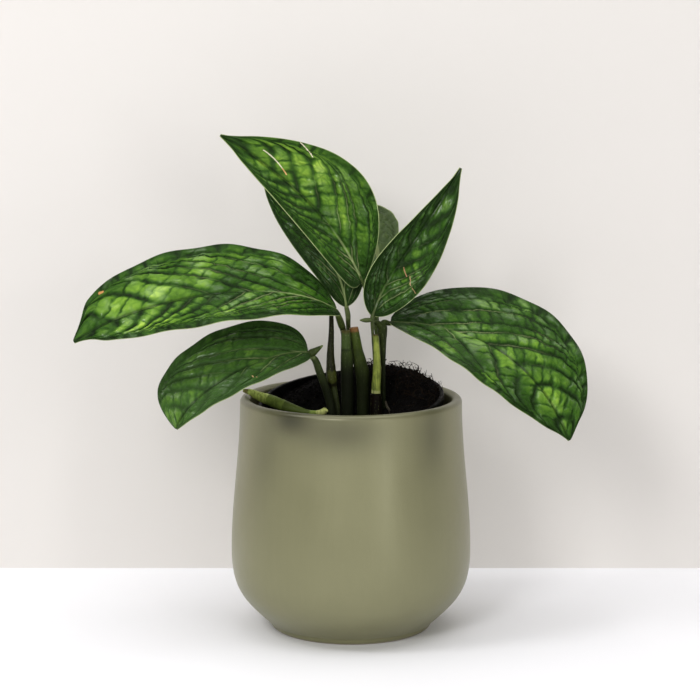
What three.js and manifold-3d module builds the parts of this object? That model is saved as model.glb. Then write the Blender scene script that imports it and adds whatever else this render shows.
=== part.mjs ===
// Potted monstera karstenianum: a round-bellied glazed ceramic cover pot with a tilted
// black nursery pot inside it, filled with dark potting mix, and an aroid with seven
// pointed, mottled leaves on slim leaf stalks, two cut-back stems and one fallen stalk.
//
// Millimetres, +Z up. The origin is the centre of the cover pot's flat underside,
// +X is to the right and -Y towards the side that the two drooping leaves lean to.

import * as THREE from 'three';
import { mergeVertices } from 'three/addons/utils/BufferGeometryUtils.js';
import Module from 'manifold-3d';

const wasm = await Module();
wasm.setup();

// Cover pot
const POT_HEIGHT = 141.7;
const POT_FOOT_RADIUS = 46;
const POT_FOOT_ROUND = 3;
const POT_FLARE_OUT = 17;
const POT_FLARE_HEIGHT = 18.5;
const POT_BELLY_RADIUS = 72.6;
const POT_BELLY_HEIGHT = 48;
const POT_BELLY_BELOW = 24;
const POT_BELLY_ABOVE = 78;
const POT_NECK_HEIGHT = 108;
const POT_MOUTH_RADIUS = 66.9;
const POT_WALL = 6.2;
const POT_FLOOR = 9;
const POT_FLOOR_ROUND = 5;
const POT_SEGMENTS = 48;

// Nursery pot, leaning inside the cover pot
const NURSERY_RIM_RADIUS = 56;
const NURSERY_BASE_RADIUS = 35;
const NURSERY_DEPTH = 127;
const NURSERY_WALL = 1.2;
const NURSERY_LIP = 2.4;
const NURSERY_LIP_DEPTH = 5;
const NURSERY_LIP_BEVEL = 0.5;
const NURSERY_BASE_BEVEL = 2;
const NURSERY_RIM_HEIGHT = 140.5;
const NURSERY_TILT_BACK = 8.2;
const NURSERY_TILT_RIGHT = 4.2;
const NURSERY_SEGMENTS = 36;

// Potting mix: its level below the nursery pot's rim, its uneven top, and the bank of mix
// along the back right: how far out its crest lies, how wide it is, and the angle of its
// middle and how far round it reaches, in degrees
const MIX_LEVEL = 13;
const MIX_UNEVEN = 0.6;
const MIX_WAVE_X = 0.31;
const MIX_WAVE_Y = 0.27;
const MIX_RINGS = 8;
const HEAP_HEIGHT = 20;
const HEAP_RADIUS = 42;
const HEAP_WIDTH = 14;
const HEAP_ANGLE = 48;
const HEAP_TURN = 75;

// Space left between touching pieces, and around a stem where it stands in the mix
const GAP = 0.4;
const STEM_GAP = 0.6;

// Leaf blades. spine: the midrib's four Bezier points from the base to the tip.
// facing: which way the upper face looks at the base and at the tip.
// left, right: each side's widest half width, how round its base is, how its outline
// tapers to the tip, and how far its base lobe reaches back past the leaf stalk.
// fold: how far each half folds up from flat at the base and at the tip, in degrees.
// cup: how much further the fold has turned at the margin, in degrees.
const LEAVES = {
  leaf_top: {
    spine: [[7, 5, 210], [-8, 15, 244], [-30, 23, 266], [-77, 16, 298]],
    facing: [[-0.45, -0.65, 0.6], [-0.2, -0.85, 0.45]],
    left: { width: 17, round: 0.55, taper: 0.7, lobe: 7 },
    right: { width: 38, round: 0.7, taper: 1.05, lobe: -1 },
    fold: [22, 3], cup: 14, ripple: 0.5,
  },
  leaf_behind_top: {
    spine: [[-3, 14, 194], [-6, 26, 227], [-38, 47, 246], [-53, 50, 275]],
    facing: [[-0.2, -0.9, 0.45], [-0.3, -0.85, 0.4]],
    left: { width: 15, round: 0.6, taper: 0.75, lobe: 1 },
    right: { width: 24, round: 0.6, taper: 0.8, lobe: 1 },
    fold: [14, 8], cup: 10, ripple: 0.4,
  },
  leaf_far_side: {
    spine: [[6, 48, 250], [9, 61, 240], [15, 84, 232], [22, 92, 196]],
    facing: [[0.2, 0.45, 0.85], [0.2, 0.95, 0.2]],
    left: { width: 22, round: 0.5, taper: 0.9, lobe: 6 },
    right: { width: 19, round: 0.5, taper: 0.9, lobe: 6 },
    fold: [9, 5], cup: 5, ripple: 0.4,
  },
  leaf_upright: {
    spine: [[13, -10, 192], [20, -4, 216], [38, -5, 232], [65, -2, 279]],
    facing: [[0.05, -0.95, 0.25], [0.3, -0.95, 0.1]],
    left: { width: 16, round: 0.55, taper: 0.95, lobe: -1 },
    right: { width: 22, round: 0.65, taper: 0.85, lobe: 2 },
    fold: [14, 11], cup: 19, ripple: 0.4,
  },
  leaf_long: {
    spine: [[-8, -5, 195], [-40, -27, 221], [-122, -32, 207], [-160, -43, 183]],
    facing: [[-0.1, -0.45, 0.9], [-0.15, -0.75, 0.6]],
    left: { width: 27, round: 0.55, taper: 0.7, lobe: 3 },
    right: { width: 38, round: 0.5, taper: 0.6, lobe: -1 },
    fold: [6, 4], cup: 0, ripple: 0.9,
  },
  leaf_low: {
    spine: [[-25, -14, 171], [-50, -30, 177], [-99, -60, 152], [-102, -53, 131]],
    facing: [[-0.1, -0.7, 0.7], [-0.5, -0.55, 0.65]],
    left: { width: 17, round: 0.6, taper: 0.8, lobe: 2 },
    right: { width: 35, round: 0.45, taper: 0.4, lobe: 2 },
    fold: [6, 1], cup: 1, ripple: 0.5,
  },
  leaf_large: {
    spine: [[23, 1, 187], [84, -11, 189], [115, -41, 160], [128, -42, 123]],
    facing: [[0.3, -0.45, 0.85], [0.3, -0.75, 0.6]],
    left: { width: 47, round: 0.65, taper: 0.8, lobe: 0 },
    right: { width: 34, round: 0.65, taper: 0.95, lobe: 0 },
    fold: [14, -4], cup: 0, ripple: 0.6,
  },
};
const LOBE_PLACE = 0.08;
const RIPPLES = 5;
const BLADE_THICKNESS = 0.8;
const MIDRIB_DEPTH = 1.5;
const MIDRIB_SHARE = 0.09;
const MIDRIB_THINNING = 0.8;
const MIDRIB_RUNOUT = 0.05;
const BLADE_ENDS = [0.004, 0.997];
const BLADE_ROWS = 20;
const BLADE_COLUMNS = [-1, -0.82, -0.55, -0.27, -MIDRIB_SHARE, 0, MIDRIB_SHARE, 0.27, 0.55, 0.82, 1];

// Stalks and stems: the points of each centre line with the radius there, from the foot
// in the potting mix to the top. A leaf stalk ends at the base of the blade it carries.
const LEAF_STALKS = {
  stalk_top: {
    leaf: 'leaf_top',
    route: [[16.4, 11, 118, 1.9], [16.6, 11, 137, 1.8], [17, 12.3, 155, 1.7], [16.2, 13, 174, 1.6],
      [14.2, 12.5, 190, 1.5], [10.6, 8.5, 202, 1.5]],
  },
  stalk_behind_top: {
    leaf: 'leaf_behind_top',
    route: [[0.6, 9.5, 118, 1.9], [0.6, 9.5, 129, 1.8], [0.2, 9.8, 150, 1.6], [-0.6, 10.5, 168, 1.5],
      [-1.6, 12, 183, 1.4], [-1.8, 12.8, 189, 1.6]],
  },
  stalk_far_side: {
    leaf: 'leaf_far_side',
    route: [[18, 17.5, 119, 2], [17.7, 17.5, 142, 1.9], [17, 18, 167, 1.7], [15.2, 20.5, 187, 1.7],
      [12.3, 28, 212, 1.6], [8.8, 37.5, 234, 1.5]],
    drop: 3,
  },
  stalk_upright: {
    leaf: 'leaf_upright',
    route: [[15.4, 4, 119, 1.3], [15.3, 4, 145, 1.2], [14.3, 3, 163, 1.1], [13.1, -1.5, 179, 0.9],
      [12.8, -6, 186, 1.1]],
    ear: [[12.3, -8.6, 189.2, 1.1], [9, -10, 189.3, 1.4], [5.4, -12, 189.6, 0.5]],
  },
  stalk_long: {
    leaf: 'leaf_long',
    route: [[-1.8, 5, 118, 1.9], [-1.8, 5, 130, 1.8], [-2.4, 5, 150, 1.7], [-3.2, 4.6, 170, 1.7],
      [-4.7, 3, 181, 1.8], [-5.7, 1.5, 184.6, 2.1], [-7, -0.6, 188.7, 2]],
  },
  stalk_low: {
    leaf: 'leaf_low',
    route: [[-10.8, -12, 118, 2.4], [-12.2, -11.5, 136, 2.4], [-14.2, -11.5, 145, 2.4],
      [-16.6, -12, 152.5, 2.4], [-19.1, -12.3, 159.5, 2.3], [-21.6, -12.8, 166, 2]],
    drop: 1.2,
    ear: [[-22.6, -13, 168.4, 1.6], [-20.4, -13.6, 172, 1.4], [-16.8, -14, 174.8, 0.7]],
  },
  stalk_large: {
    leaf: 'leaf_large',
    route: [[19.9, 1.5, 119, 1.4], [19.5, 1.5, 148, 1.3], [19.4, 1.5, 161.5, 1.4], [19.2, 1.5, 174.5, 2.1],
      [19.1, 1.5, 178.5, 2.6], [18.9, 1.5, 182.5, 3], [19.8, 1.4, 186, 2.1]],
  },
};
const STEMS = {
  stem_with_node: {
    colour: 0x4d5a2c,
    route: [[-8.2, -5.6, 118, 2.2], [-8.4, -5.4, 134, 2], [-9.7, -4.8, 143, 2], [-10.6, -4.3, 147.8, 2.1],
      [-11.2, -4.1, 150, 2.9], [-11.7, -4, 153.4, 3.2], [-12, -3.4, 159, 2.9], [-12.3, -2.4, 165.3, 2.4],
      [-12.2, -1, 171.5, 2], [-11.8, 1, 181, 1.6], [-11.9, 3, 197, 1.2]],
  },
  cut_stem_left: {
    colour: 0x5f6f35,
    route: [[-2.3, -2.2, 118, 3.5], [-2.3, -2.2, 131, 3.6], [-2.4, -2.2, 152, 3.8],
      [-2.5, -2.2, 165, 3.7], [-2.9, -2.2, 172, 3.1], [-3.2, -2.2, 182, 2.7]],
  },
  cut_stem_right: {
    colour: 0x6b7d3c,
    route: [[7.3, 2.6, 118, 3.6], [7.2, 2.6, 131, 3.7], [7.3, 2.6, 145, 4], [6.9, 2.6, 154.5, 4.4],
      [5.4, 2.6, 161.5, 4.1], [3.8, 2.6, 169.5, 3.3], [2.5, 2.6, 177, 3.1], [1.6, 2.6, 183, 2.7]],
  },
  cut_sheath: {
    colour: 0xb5bf5a,
    route: [[14.9, -5, 144.4, 2.9], [15.2, -5, 150, 2.7], [15.6, -5, 158, 2.5], [15.5, -5.2, 169, 2],
      [14.6, -5.5, 180, 1.7]],
  },
  old_stem_foot: {
    colour: 0x5a3f2b,
    route: [[15.2, -4.8, 118, 3.7], [15.2, -4.8, 132, 3.8], [15, -5, 143.5, 3.4]],
  },
  thin_root: {
    colour: 0x8a8578,
    route: [[25.4, -15.5, 122, 0.7], [24.6, -12.5, 130, 0.7], [23, -8.5, 134.4, 0.7],
      [21.6, -5, 136.4, 0.7], [20.9, -3.4, 139, 0.6]],
  },
  fallen_stalk: {
    colour: 0x9aa24c,
    route: [[-65.2, 2.5, 144.5, 1], [-61, 1.8, 143.7, 1.9], [-56, 0.5, 141.6, 2.7], [-48, -3, 139.2, 3.5],
      [-41, -6, 137, 3.4], [-33, -9, 134.9, 2.6], [-26.5, -11, 133.9, 1.5], [-20.5, -13.5, 133.9, 1.4],
      [-16.6, -15.6, 134.9, 2], [-15.2, -16.4, 136.4, 1.7]],
  },
};
const STALK_SIDES = 8;
const STEM_SIDES = 10;
const STALK_STEP = 5;
const STEM_STEP = 3;

const ceramic = new THREE.MeshStandardMaterial({ color: 0x7d7c5f, roughness: 0.45, metalness: 0 });
const blackPlastic = new THREE.MeshStandardMaterial({ color: 0x1c1d1e, roughness: 0.55, metalness: 0 });
const pottingMix = new THREE.MeshStandardMaterial({ color: 0x2c231d, roughness: 0.95, metalness: 0 });
const leafGreen = new THREE.MeshStandardMaterial({ color: 0x2f6a23, roughness: 0.35, metalness: 0 });
const stalkGreen = new THREE.MeshStandardMaterial({ color: 0x5c6e35, roughness: 0.5, metalness: 0 });

// Points along a cubic Bezier from the first pair of points to the last, [radius, height]
function bezierPoints(start, startHandle, endHandle, end, count) {
  const curve = new THREE.CubicBezierCurve(
    new THREE.Vector2(...start),
    new THREE.Vector2(...startHandle),
    new THREE.Vector2(...endHandle),
    new THREE.Vector2(...end),
  );
  return curve.getPoints(count);
}

// Points on an arc about a centre, angles in degrees
function arcPoints(radius, height, round, from, to, count) {
  const points = [];
  for (let i = 0; i <= count; i++) {
    const angle = THREE.MathUtils.degToRad(from + (to - from) * i / count);
    points.push(new THREE.Vector2(radius + round * Math.cos(angle), height + round * Math.sin(angle)));
  }
  return points;
}

// A solid of revolution about Z from a profile that runs up the outside and down the inside
function turned(profile, segments) {
  const distinct = profile.filter((p, i) => i === 0 || p.distanceTo(profile[i - 1]) > 1e-6);
  return new THREE.LatheGeometry(distinct, segments).rotateX(Math.PI / 2);
}

// A closed mesh as a solid that can be joined or cut, and back again
function toSolid(geometry) {
  const bare = geometry.clone();
  bare.deleteAttribute('normal');
  bare.deleteAttribute('uv');
  const merged = mergeVertices(bare, 1e-4);
  return new wasm.Manifold(new wasm.Mesh({
    numProp: 3,
    vertProperties: new Float32Array(merged.attributes.position.array),
    triVerts: new Uint32Array(merged.index.array),
  }));
}

function toGeometry(solid) {
  const mesh = solid.getMesh();
  const geometry = new THREE.BufferGeometry();
  geometry.setAttribute('position', new THREE.BufferAttribute(mesh.vertProperties, 3));
  geometry.setIndex(new THREE.BufferAttribute(mesh.triVerts, 1));
  geometry.computeVertexNormals();
  return geometry;
}

// The cover pot: a flat foot, a flared lower wall, a round belly that narrows to the mouth,
// and a round lip. The inside follows the outside at the wall's thickness.
function coverPot() {
  const foot = POT_FOOT_RADIUS + POT_FOOT_ROUND;
  const inner = POT_BELLY_RADIUS - POT_WALL;
  const lipRound = POT_WALL / 2;
  const lipHeight = POT_HEIGHT - lipRound;
  const mouthInside = POT_MOUTH_RADIUS - POT_WALL;
  return turned([
    new THREE.Vector2(0, 0),
    ...arcPoints(POT_FOOT_RADIUS, POT_FOOT_ROUND, POT_FOOT_ROUND, -90, -20, 2),
    ...bezierPoints([foot, POT_FOOT_ROUND], [foot + POT_FLARE_OUT, POT_FLARE_HEIGHT],
      [POT_BELLY_RADIUS, POT_BELLY_BELOW], [POT_BELLY_RADIUS, POT_BELLY_HEIGHT], 6),
    ...bezierPoints([POT_BELLY_RADIUS, POT_BELLY_HEIGHT], [POT_BELLY_RADIUS, POT_BELLY_ABOVE],
      [POT_MOUTH_RADIUS, POT_NECK_HEIGHT], [POT_MOUTH_RADIUS, lipHeight], 6),
    ...arcPoints(POT_MOUTH_RADIUS - lipRound, lipHeight, lipRound, 0, 180, 6),
    ...bezierPoints([mouthInside, lipHeight], [mouthInside, POT_NECK_HEIGHT],
      [inner, POT_BELLY_ABOVE], [inner, POT_BELLY_HEIGHT], 4),
    ...bezierPoints([inner, POT_BELLY_HEIGHT], [inner, POT_BELLY_BELOW],
      [foot + POT_FLARE_OUT - POT_WALL, POT_FLOOR + POT_FLOOR_ROUND],
      [foot - POT_FLOOR_ROUND, POT_FLOOR], 5),
    new THREE.Vector2(0, POT_FLOOR),
  ], POT_SEGMENTS);
}

// The nursery pot's place: its own origin is the centre of its rim, with Z out of its mouth
function nurseryPlace() {
  const right = new THREE.Vector3(1, 0, Math.tan(THREE.MathUtils.degToRad(NURSERY_TILT_RIGHT))).normalize();
  const back = new THREE.Vector3(0, 1, Math.tan(THREE.MathUtils.degToRad(NURSERY_TILT_BACK)));
  back.addScaledVector(right, -back.dot(right)).normalize();
  const place = new THREE.Matrix4().makeBasis(right, back, new THREE.Vector3().crossVectors(right, back));
  return place.setPosition(0, 0, NURSERY_RIM_HEIGHT);
}

function nurseryPot() {
  const lip = NURSERY_RIM_RADIUS;
  const wallTop = NURSERY_RIM_RADIUS - NURSERY_LIP + NURSERY_WALL;
  const base = NURSERY_BASE_RADIUS - NURSERY_BASE_BEVEL;
  const floor = NURSERY_WALL - NURSERY_DEPTH;
  return turned([
    new THREE.Vector2(0, -NURSERY_DEPTH),
    new THREE.Vector2(base, -NURSERY_DEPTH),
    new THREE.Vector2(NURSERY_BASE_RADIUS, NURSERY_BASE_BEVEL - NURSERY_DEPTH),
    new THREE.Vector2(wallTop, -NURSERY_LIP_DEPTH),
    new THREE.Vector2(lip, -NURSERY_LIP_DEPTH),
    new THREE.Vector2(lip, -NURSERY_LIP_BEVEL),
    new THREE.Vector2(lip - NURSERY_LIP_BEVEL, 0),
    new THREE.Vector2(lip - NURSERY_LIP, 0),
    new THREE.Vector2(wallTop - NURSERY_WALL, -NURSERY_LIP_DEPTH),
    new THREE.Vector2(NURSERY_BASE_RADIUS - NURSERY_WALL, floor + NURSERY_BASE_BEVEL),
    new THREE.Vector2(base, floor),
    new THREE.Vector2(0, floor),
  ], NURSERY_SEGMENTS);
}

// Height of the potting mix in the nursery pot's own frame: a flat fill and a bank
function mixHeight(x, y) {
  const across = (Math.hypot(x, y) - HEAP_RADIUS) / HEAP_WIDTH;
  const angle = Math.atan2(y, x) - THREE.MathUtils.degToRad(HEAP_ANGLE);
  const turn = THREE.MathUtils.radToDeg(Math.atan2(Math.sin(angle), Math.cos(angle)));
  const bank = Math.exp(-(across ** 2 + (turn / HEAP_TURN) ** 2) / 2);
  const uneven = MIX_UNEVEN * Math.sin(MIX_WAVE_X * x + MIX_WAVE_Y / 2 * y)
    * Math.cos(MIX_WAVE_Y * y - MIX_WAVE_X / 2 * x);
  return -MIX_LEVEL + HEAP_HEIGHT * bank + uneven;
}

// The root ball: a turned plug that fills the nursery pot, its top pressed to mixHeight
function mixPlug() {
  const top = NURSERY_RIM_RADIUS - NURSERY_LIP - GAP;
  const base = NURSERY_BASE_RADIUS - NURSERY_BASE_BEVEL - GAP;
  const profile = [
    new THREE.Vector2(0, NURSERY_WALL + GAP - NURSERY_DEPTH),
    new THREE.Vector2(base, NURSERY_WALL + GAP - NURSERY_DEPTH),
  ];
  for (let i = 0; i < MIX_RINGS; i++) {
    profile.push(new THREE.Vector2(top * (1 - i / MIX_RINGS), 0));
  }
  profile.push(new THREE.Vector2(0, 0));
  const geometry = turned(profile, NURSERY_SEGMENTS);
  const position = geometry.attributes.position;
  for (let i = 0; i < position.count; i++) {
    if (position.getZ(i) > -1) {
      const x = position.getX(i);
      const y = position.getY(i);
      const height = mixHeight(x, y);
      const slack = Math.min(0, height + NURSERY_LIP_DEPTH) / (NURSERY_DEPTH - NURSERY_LIP_DEPTH);
      const narrowed = 1 + slack * (top - base) / top;
      position.setXYZ(i, x * narrowed, y * narrowed, height);
    }
  }
  return geometry;
}

// A point of a leaf's upper face. along: 0 at the base to 1 at the tip. across: -1 at the
// left margin, 0 at the midrib, 1 at the right margin.
function bladePoint(leaf, along, across) {
  const side = across < 0 ? leaf.left : leaf.right;
  const spine = new THREE.CubicBezierCurve3(...leaf.spine.map((p) => new THREE.Vector3(...p)));
  const tangent = spine.getTangent(along);
  const facing = new THREE.Vector3(...leaf.facing[0]).lerp(new THREE.Vector3(...leaf.facing[1]), along);
  const up = facing.addScaledVector(tangent, -facing.dot(tangent)).normalize();
  const sideways = new THREE.Vector3().crossVectors(tangent, up);
  const peak = side.round / (side.round + side.taper);
  const outline = (t) => t ** side.round * (1 - t) ** side.taper;
  const reach = Math.abs(across) * side.width * outline(along) / outline(peak);
  const fold = THREE.MathUtils.degToRad(
    THREE.MathUtils.lerp(leaf.fold[0], leaf.fold[1], along) + leaf.cup * Math.abs(across));
  const lobe = side.lobe * (along / LOBE_PLACE) * Math.exp(1 - along / LOBE_PLACE) * across ** 2;
  const ripple = leaf.ripple * Math.sin(2 * Math.PI * RIPPLES * along + across) * across ** 4
    * 4 * along * (1 - along);
  return spine.getPoint(along)
    .addScaledVector(sideways, Math.sign(across) * reach * Math.cos(fold))
    .addScaledVector(up, reach * Math.sin(fold) + ripple)
    .addScaledVector(tangent, -lobe);
}

function bladeNormal(leaf, along, across) {
  const step = 0.002;
  const sideStep = 0.02;
  const end = 1e-4;
  const ahead = bladePoint(leaf, Math.min(along + step, 1 - end), across);
  const back = bladePoint(leaf, Math.max(along - step, end), across);
  const right = bladePoint(leaf, along, across + sideStep);
  const left = bladePoint(leaf, along, across - sideStep);
  return new THREE.Vector3().crossVectors(ahead.sub(back), right.sub(left)).normalize();
}

// A leaf blade: a thin slab whose two faces are split into triangles in the same way, with
// the midrib standing proud underneath
function blade(leaf) {
  const columns = BLADE_COLUMNS.length;
  const upper = [];
  const lower = [];
  for (let row = 0; row <= BLADE_ROWS; row++) {
    const share = (1 - Math.cos(Math.PI * row / BLADE_ROWS)) / 2;
    const along = THREE.MathUtils.lerp(BLADE_ENDS[0], BLADE_ENDS[1], share);
    for (const across of BLADE_COLUMNS) {
      const point = bladePoint(leaf, along, across);
      const proud = (1 - MIDRIB_THINNING * along) * Math.min(1, (1 - along) / MIDRIB_RUNOUT);
      const rib = across === 0 ? MIDRIB_DEPTH * proud : 0;
      upper.push(point);
      lower.push(point.clone().addScaledVector(bladeNormal(leaf, along, across), -BLADE_THICKNESS - rib));
    }
  }
  const half = upper.length;
  const index = [];
  const quad = (a, b, c, d) => index.push(a, b, c, a, c, d);
  for (let row = 0; row < BLADE_ROWS; row++) {
    for (let column = 0; column < columns - 1; column++) {
      const a = row * columns + column;
      const b = a + columns;
      quad(a, b, b + 1, a + 1);
      index.push(half + a, half + b + 1, half + b, half + a, half + a + 1, half + b + 1);
    }
    const left = row * columns;
    const right = left + columns - 1;
    quad(left, half + left, half + left + columns, left + columns);
    quad(right + columns, half + right + columns, half + right, right);
  }
  for (let column = 0; column < columns - 1; column++) {
    const base = column;
    const tip = BLADE_ROWS * columns + column;
    quad(base + 1, half + base + 1, half + base, base);
    quad(tip, half + tip, half + tip + 1, tip + 1);
  }
  const geometry = new THREE.BufferGeometry();
  geometry.setAttribute('position', new THREE.Float32BufferAttribute(
    [...upper, ...lower].flatMap((p) => p.toArray()), 3));
  geometry.setIndex(index);
  geometry.computeVertexNormals();
  return geometry;
}

// A round stem along a route of [x, y, z, radius], made by bending a cylinder to it
function bentStem(route, sides, step, extraRadius = 0, extraLength = 0) {
  const points = route.map(([x, y, z]) => new THREE.Vector3(x, y, z));
  if (extraLength > 0) {
    const down = points[0].clone().sub(points[1]).setLength(extraLength);
    points[0].add(down);
    const out = points.at(-1).clone().sub(points.at(-2)).setLength(extraLength);
    points.at(-1).add(out);
  }
  const curve = new THREE.CatmullRomCurve3(points, false, 'centripetal');
  const rings = Math.max(4, Math.round(curve.getLength() / step));
  const frames = curve.computeFrenetFrames(rings, false);
  const geometry = new THREE.CylinderGeometry(1, 1, rings, sides, rings);
  const position = geometry.attributes.position;
  for (let i = 0; i < position.count; i++) {
    const ring = Math.round(position.getY(i) + rings / 2);
    const place = curve.getUtoTmapping(ring / rings) * (route.length - 1);
    const before = Math.min(Math.floor(place), route.length - 2);
    const radius = extraRadius
      + THREE.MathUtils.lerp(route[before][3], route[before + 1][3], place - before);
    const point = curve.getPointAt(ring / rings)
      .addScaledVector(frames.normals[ring], position.getX(i) * radius)
      .addScaledVector(frames.binormals[ring], -position.getZ(i) * radius);
    position.setXYZ(i, point.x, point.y, point.z);
  }
  geometry.computeVertexNormals();
  return geometry;
}

// A leaf stalk's route, carried on to just short of the blade's base, or as far below its
// upper face as the stalk's drop says where the stalk meets the blade at an angle
function stalkRoute({ leaf, route, drop = GAP }) {
  const { spine, facing } = LEAVES[leaf];
  const [base, handle] = spine.slice(0, 2).map((p) => new THREE.Vector3(...p));
  const ahead = handle.clone().sub(base).normalize();
  const up = new THREE.Vector3(...facing[0]).projectOnPlane(ahead).normalize();
  const end = base.addScaledVector(ahead, -GAP).addScaledVector(up, -drop);
  return [...route, [...end.toArray(), 1.4]];
}

const plant = new THREE.Group();

function add(name, geometry, material) {
  const mesh = new THREE.Mesh(geometry, material);
  mesh.name = name;
  plant.add(mesh);
  return mesh;
}

add('cover_pot', coverPot(), ceramic);
const place = nurseryPlace();
add('nursery_pot', nurseryPot(), blackPlastic).applyMatrix4(place);

// The potting mix, with a plain hole for every stem that stands in it
const standing = [
  ...Object.values(LEAF_STALKS).map((stalk) => [stalkRoute(stalk), STALK_SIDES, STALK_STEP]),
  ...Object.values(STEMS).map(({ route }) => [route, STEM_SIDES, STEM_STEP]),
];
let mix = toSolid(mixPlug().applyMatrix4(place));
for (const [route, sides, step] of standing) {
  mix = mix.subtract(toSolid(bentStem(route, sides, step, STEM_GAP, STEM_GAP)));
}
add('potting_mix', toGeometry(mix), pottingMix);

for (const [name, leaf] of Object.entries(LEAVES)) {
  add(name, blade(leaf), leafGreen);
}
for (const [name, stalk] of Object.entries(LEAF_STALKS)) {
  const main = bentStem(stalkRoute(stalk), STALK_SIDES, STALK_STEP);
  if (stalk.ear) {
    const ear = bentStem(stalk.ear, STALK_SIDES, STALK_STEP);
    add(name, toGeometry(toSolid(main).add(toSolid(ear))), stalkGreen);
  } else {
    add(name, main, stalkGreen);
  }
}
for (const [name, { colour, route }] of Object.entries(STEMS)) {
  const material = new THREE.MeshStandardMaterial({ color: colour, roughness: 0.6, metalness: 0 });
  add(name, bentStem(route, STEM_SIDES, STEM_STEP), material);
}

export default plant;
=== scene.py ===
import math

import bpy
from mathutils import Matrix, Vector


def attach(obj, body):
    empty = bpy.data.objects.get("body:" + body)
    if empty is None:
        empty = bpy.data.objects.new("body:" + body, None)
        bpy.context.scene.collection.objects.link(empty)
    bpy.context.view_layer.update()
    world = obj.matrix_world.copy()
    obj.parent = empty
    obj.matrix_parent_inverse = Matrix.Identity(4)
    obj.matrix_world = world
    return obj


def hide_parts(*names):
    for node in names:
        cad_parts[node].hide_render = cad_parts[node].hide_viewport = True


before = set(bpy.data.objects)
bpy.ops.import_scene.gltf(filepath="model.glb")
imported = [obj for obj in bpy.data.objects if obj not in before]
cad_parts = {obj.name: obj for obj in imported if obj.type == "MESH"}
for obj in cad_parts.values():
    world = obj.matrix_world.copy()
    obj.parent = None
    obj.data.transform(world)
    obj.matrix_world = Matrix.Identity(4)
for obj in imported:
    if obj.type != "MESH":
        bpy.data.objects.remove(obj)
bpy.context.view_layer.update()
scene = bpy.context.scene

# Camera
# It looks a little down on the pot from the height of a person who sits at the table,
# through a long lens, so that the pot's mouth shows as a narrow ellipse.
MM = 0.001
CAMERA_PLACE = (-0.6 * MM, -1462.5 * MM, 405.8 * MM)
CAMERA_DOWN = 9.17
CAMERA_LENS = 126.67
CAMERA_SENSOR = 36

camera_data = bpy.data.cameras.new("camera")
camera_data.lens = CAMERA_LENS
camera_data.sensor_width = CAMERA_SENSOR
camera = bpy.data.objects.new("camera", camera_data)
camera.location = CAMERA_PLACE
camera.rotation_euler = (math.radians(90 - CAMERA_DOWN), 0, 0)
scene.collection.objects.link(camera)
scene.camera = camera


# Cover pot
# A round-bellied pot of cast stoneware with a satin sage-green glaze inside and out, and a
# bare, flat foot. Its wall is rolled over into a soft round lip.
POT_HEIGHT = 141.7
POT_FOOT_RADIUS = 46
POT_FOOT_ROUND = 3
POT_FLARE_OUT = 17
POT_FLARE_HEIGHT = 18.5
POT_BELLY_RADIUS = 72.6
POT_BELLY_HEIGHT = 48
POT_BELLY_BELOW = 24
POT_BELLY_ABOVE = 78
POT_NECK_HEIGHT = 108
POT_MOUTH_RADIUS = 66.9
POT_WALL = 6.2
POT_FLOOR = 9
POT_FLOOR_ROUND = 5
POT_SEGMENTS = 192
SAME_POINT = 1e-4
GLAZE_DARK = (0.186, 0.180, 0.091)
GLAZE_LIGHT = (0.228, 0.222, 0.117)
GLAZE_SHADE_TONE = "3d3c28"
# How far below the top the painted shade on the lip begins and where it is full.
LIP_SHADE_BAND = (3.4, 0.6)
BARE_FOOT = (0.9, 0.3)
GLAZE_METALLIC = 0.4
GLAZE_COAT = 0.25
GLAZE_COAT_ROUGHNESS = 0.3
# Painted shade on the glaze, under the lip and where the leaves shade the neck: each spot's centre, its
# reach each way and its strength.
GLAZE_SHADE_SPOTS = (((-35, -57, 138), (16, 15, 10), 0.97), ((-50, -45, 118), (14, 14, 24), 0.25),
               ((-5, -68, 132), (24, 18, 12), 0.6), ((48, -48, 129), (12, 12, 22), 0.5))
BARE_CLAY = (0.42, 0.36, 0.28)


def srgb(code):
    """A colour written as six hexadecimal digits, as the shader's linear values."""
    parts = [int(code[i:i + 2], 16) / 255 for i in (0, 2, 4)]
    return tuple(p / 12.92 if p < 0.04045 else ((p + 0.055) / 1.055) ** 2.4 for p in parts)


def bezier_point(points, share):
    """A point on the cubic curve through the first and last of four points."""
    rest = 1 - share
    weights = (rest ** 3, 3 * rest ** 2 * share, 3 * rest * share ** 2, share ** 3)
    return tuple(sum(w * p[i] for w, p in zip(weights, points)) for i in range(len(points[0])))


def bezier_run(points, count):
    return [bezier_point(points, i / count) for i in range(count + 1)]


def arc_run(radius, height, round_, start, end, count):
    angles = [math.radians(start + (end - start) * i / count) for i in range(count + 1)]
    return [(radius + round_ * math.cos(a), height + round_ * math.sin(a)) for a in angles]


def mesh_object(name, points, faces):
    """A new mesh at the origin from points in millimetres."""
    mesh = bpy.data.meshes.new(name)
    mesh.from_pydata([Vector(p) * MM for p in points], [], faces)
    mesh.polygons.foreach_set("use_smooth", [True] * len(mesh.polygons))
    piece = bpy.data.objects.new(name, mesh)
    scene.collection.objects.link(piece)
    return piece


def circle(radius, height, count):
    angles = [2 * math.pi * step / count for step in range(count)]
    return [(radius * math.cos(a), radius * math.sin(a), height) for a in angles]


def between_rings(name, rings, below, above, place):
    """A closed round piece from rings of as many points each, the lowest first, and the
    points on the axis below and above them."""
    count = len(rings[0])
    points = [below, *(point for ring in rings for point in ring), above]
    last_ring = 1 + (len(rings) - 1) * count
    faces = []
    for step in range(count):
        after = (step + 1) % count
        faces.append((0, 1 + after, 1 + step))
        for low in range(1, last_ring, count):
            faces.append((low + step, low + after, low + count + after, low + count + step))
        faces.append((last_ring + step, last_ring + after, len(points) - 1))
    return mesh_object(name, [place @ Vector(point) for point in points], faces)


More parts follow.
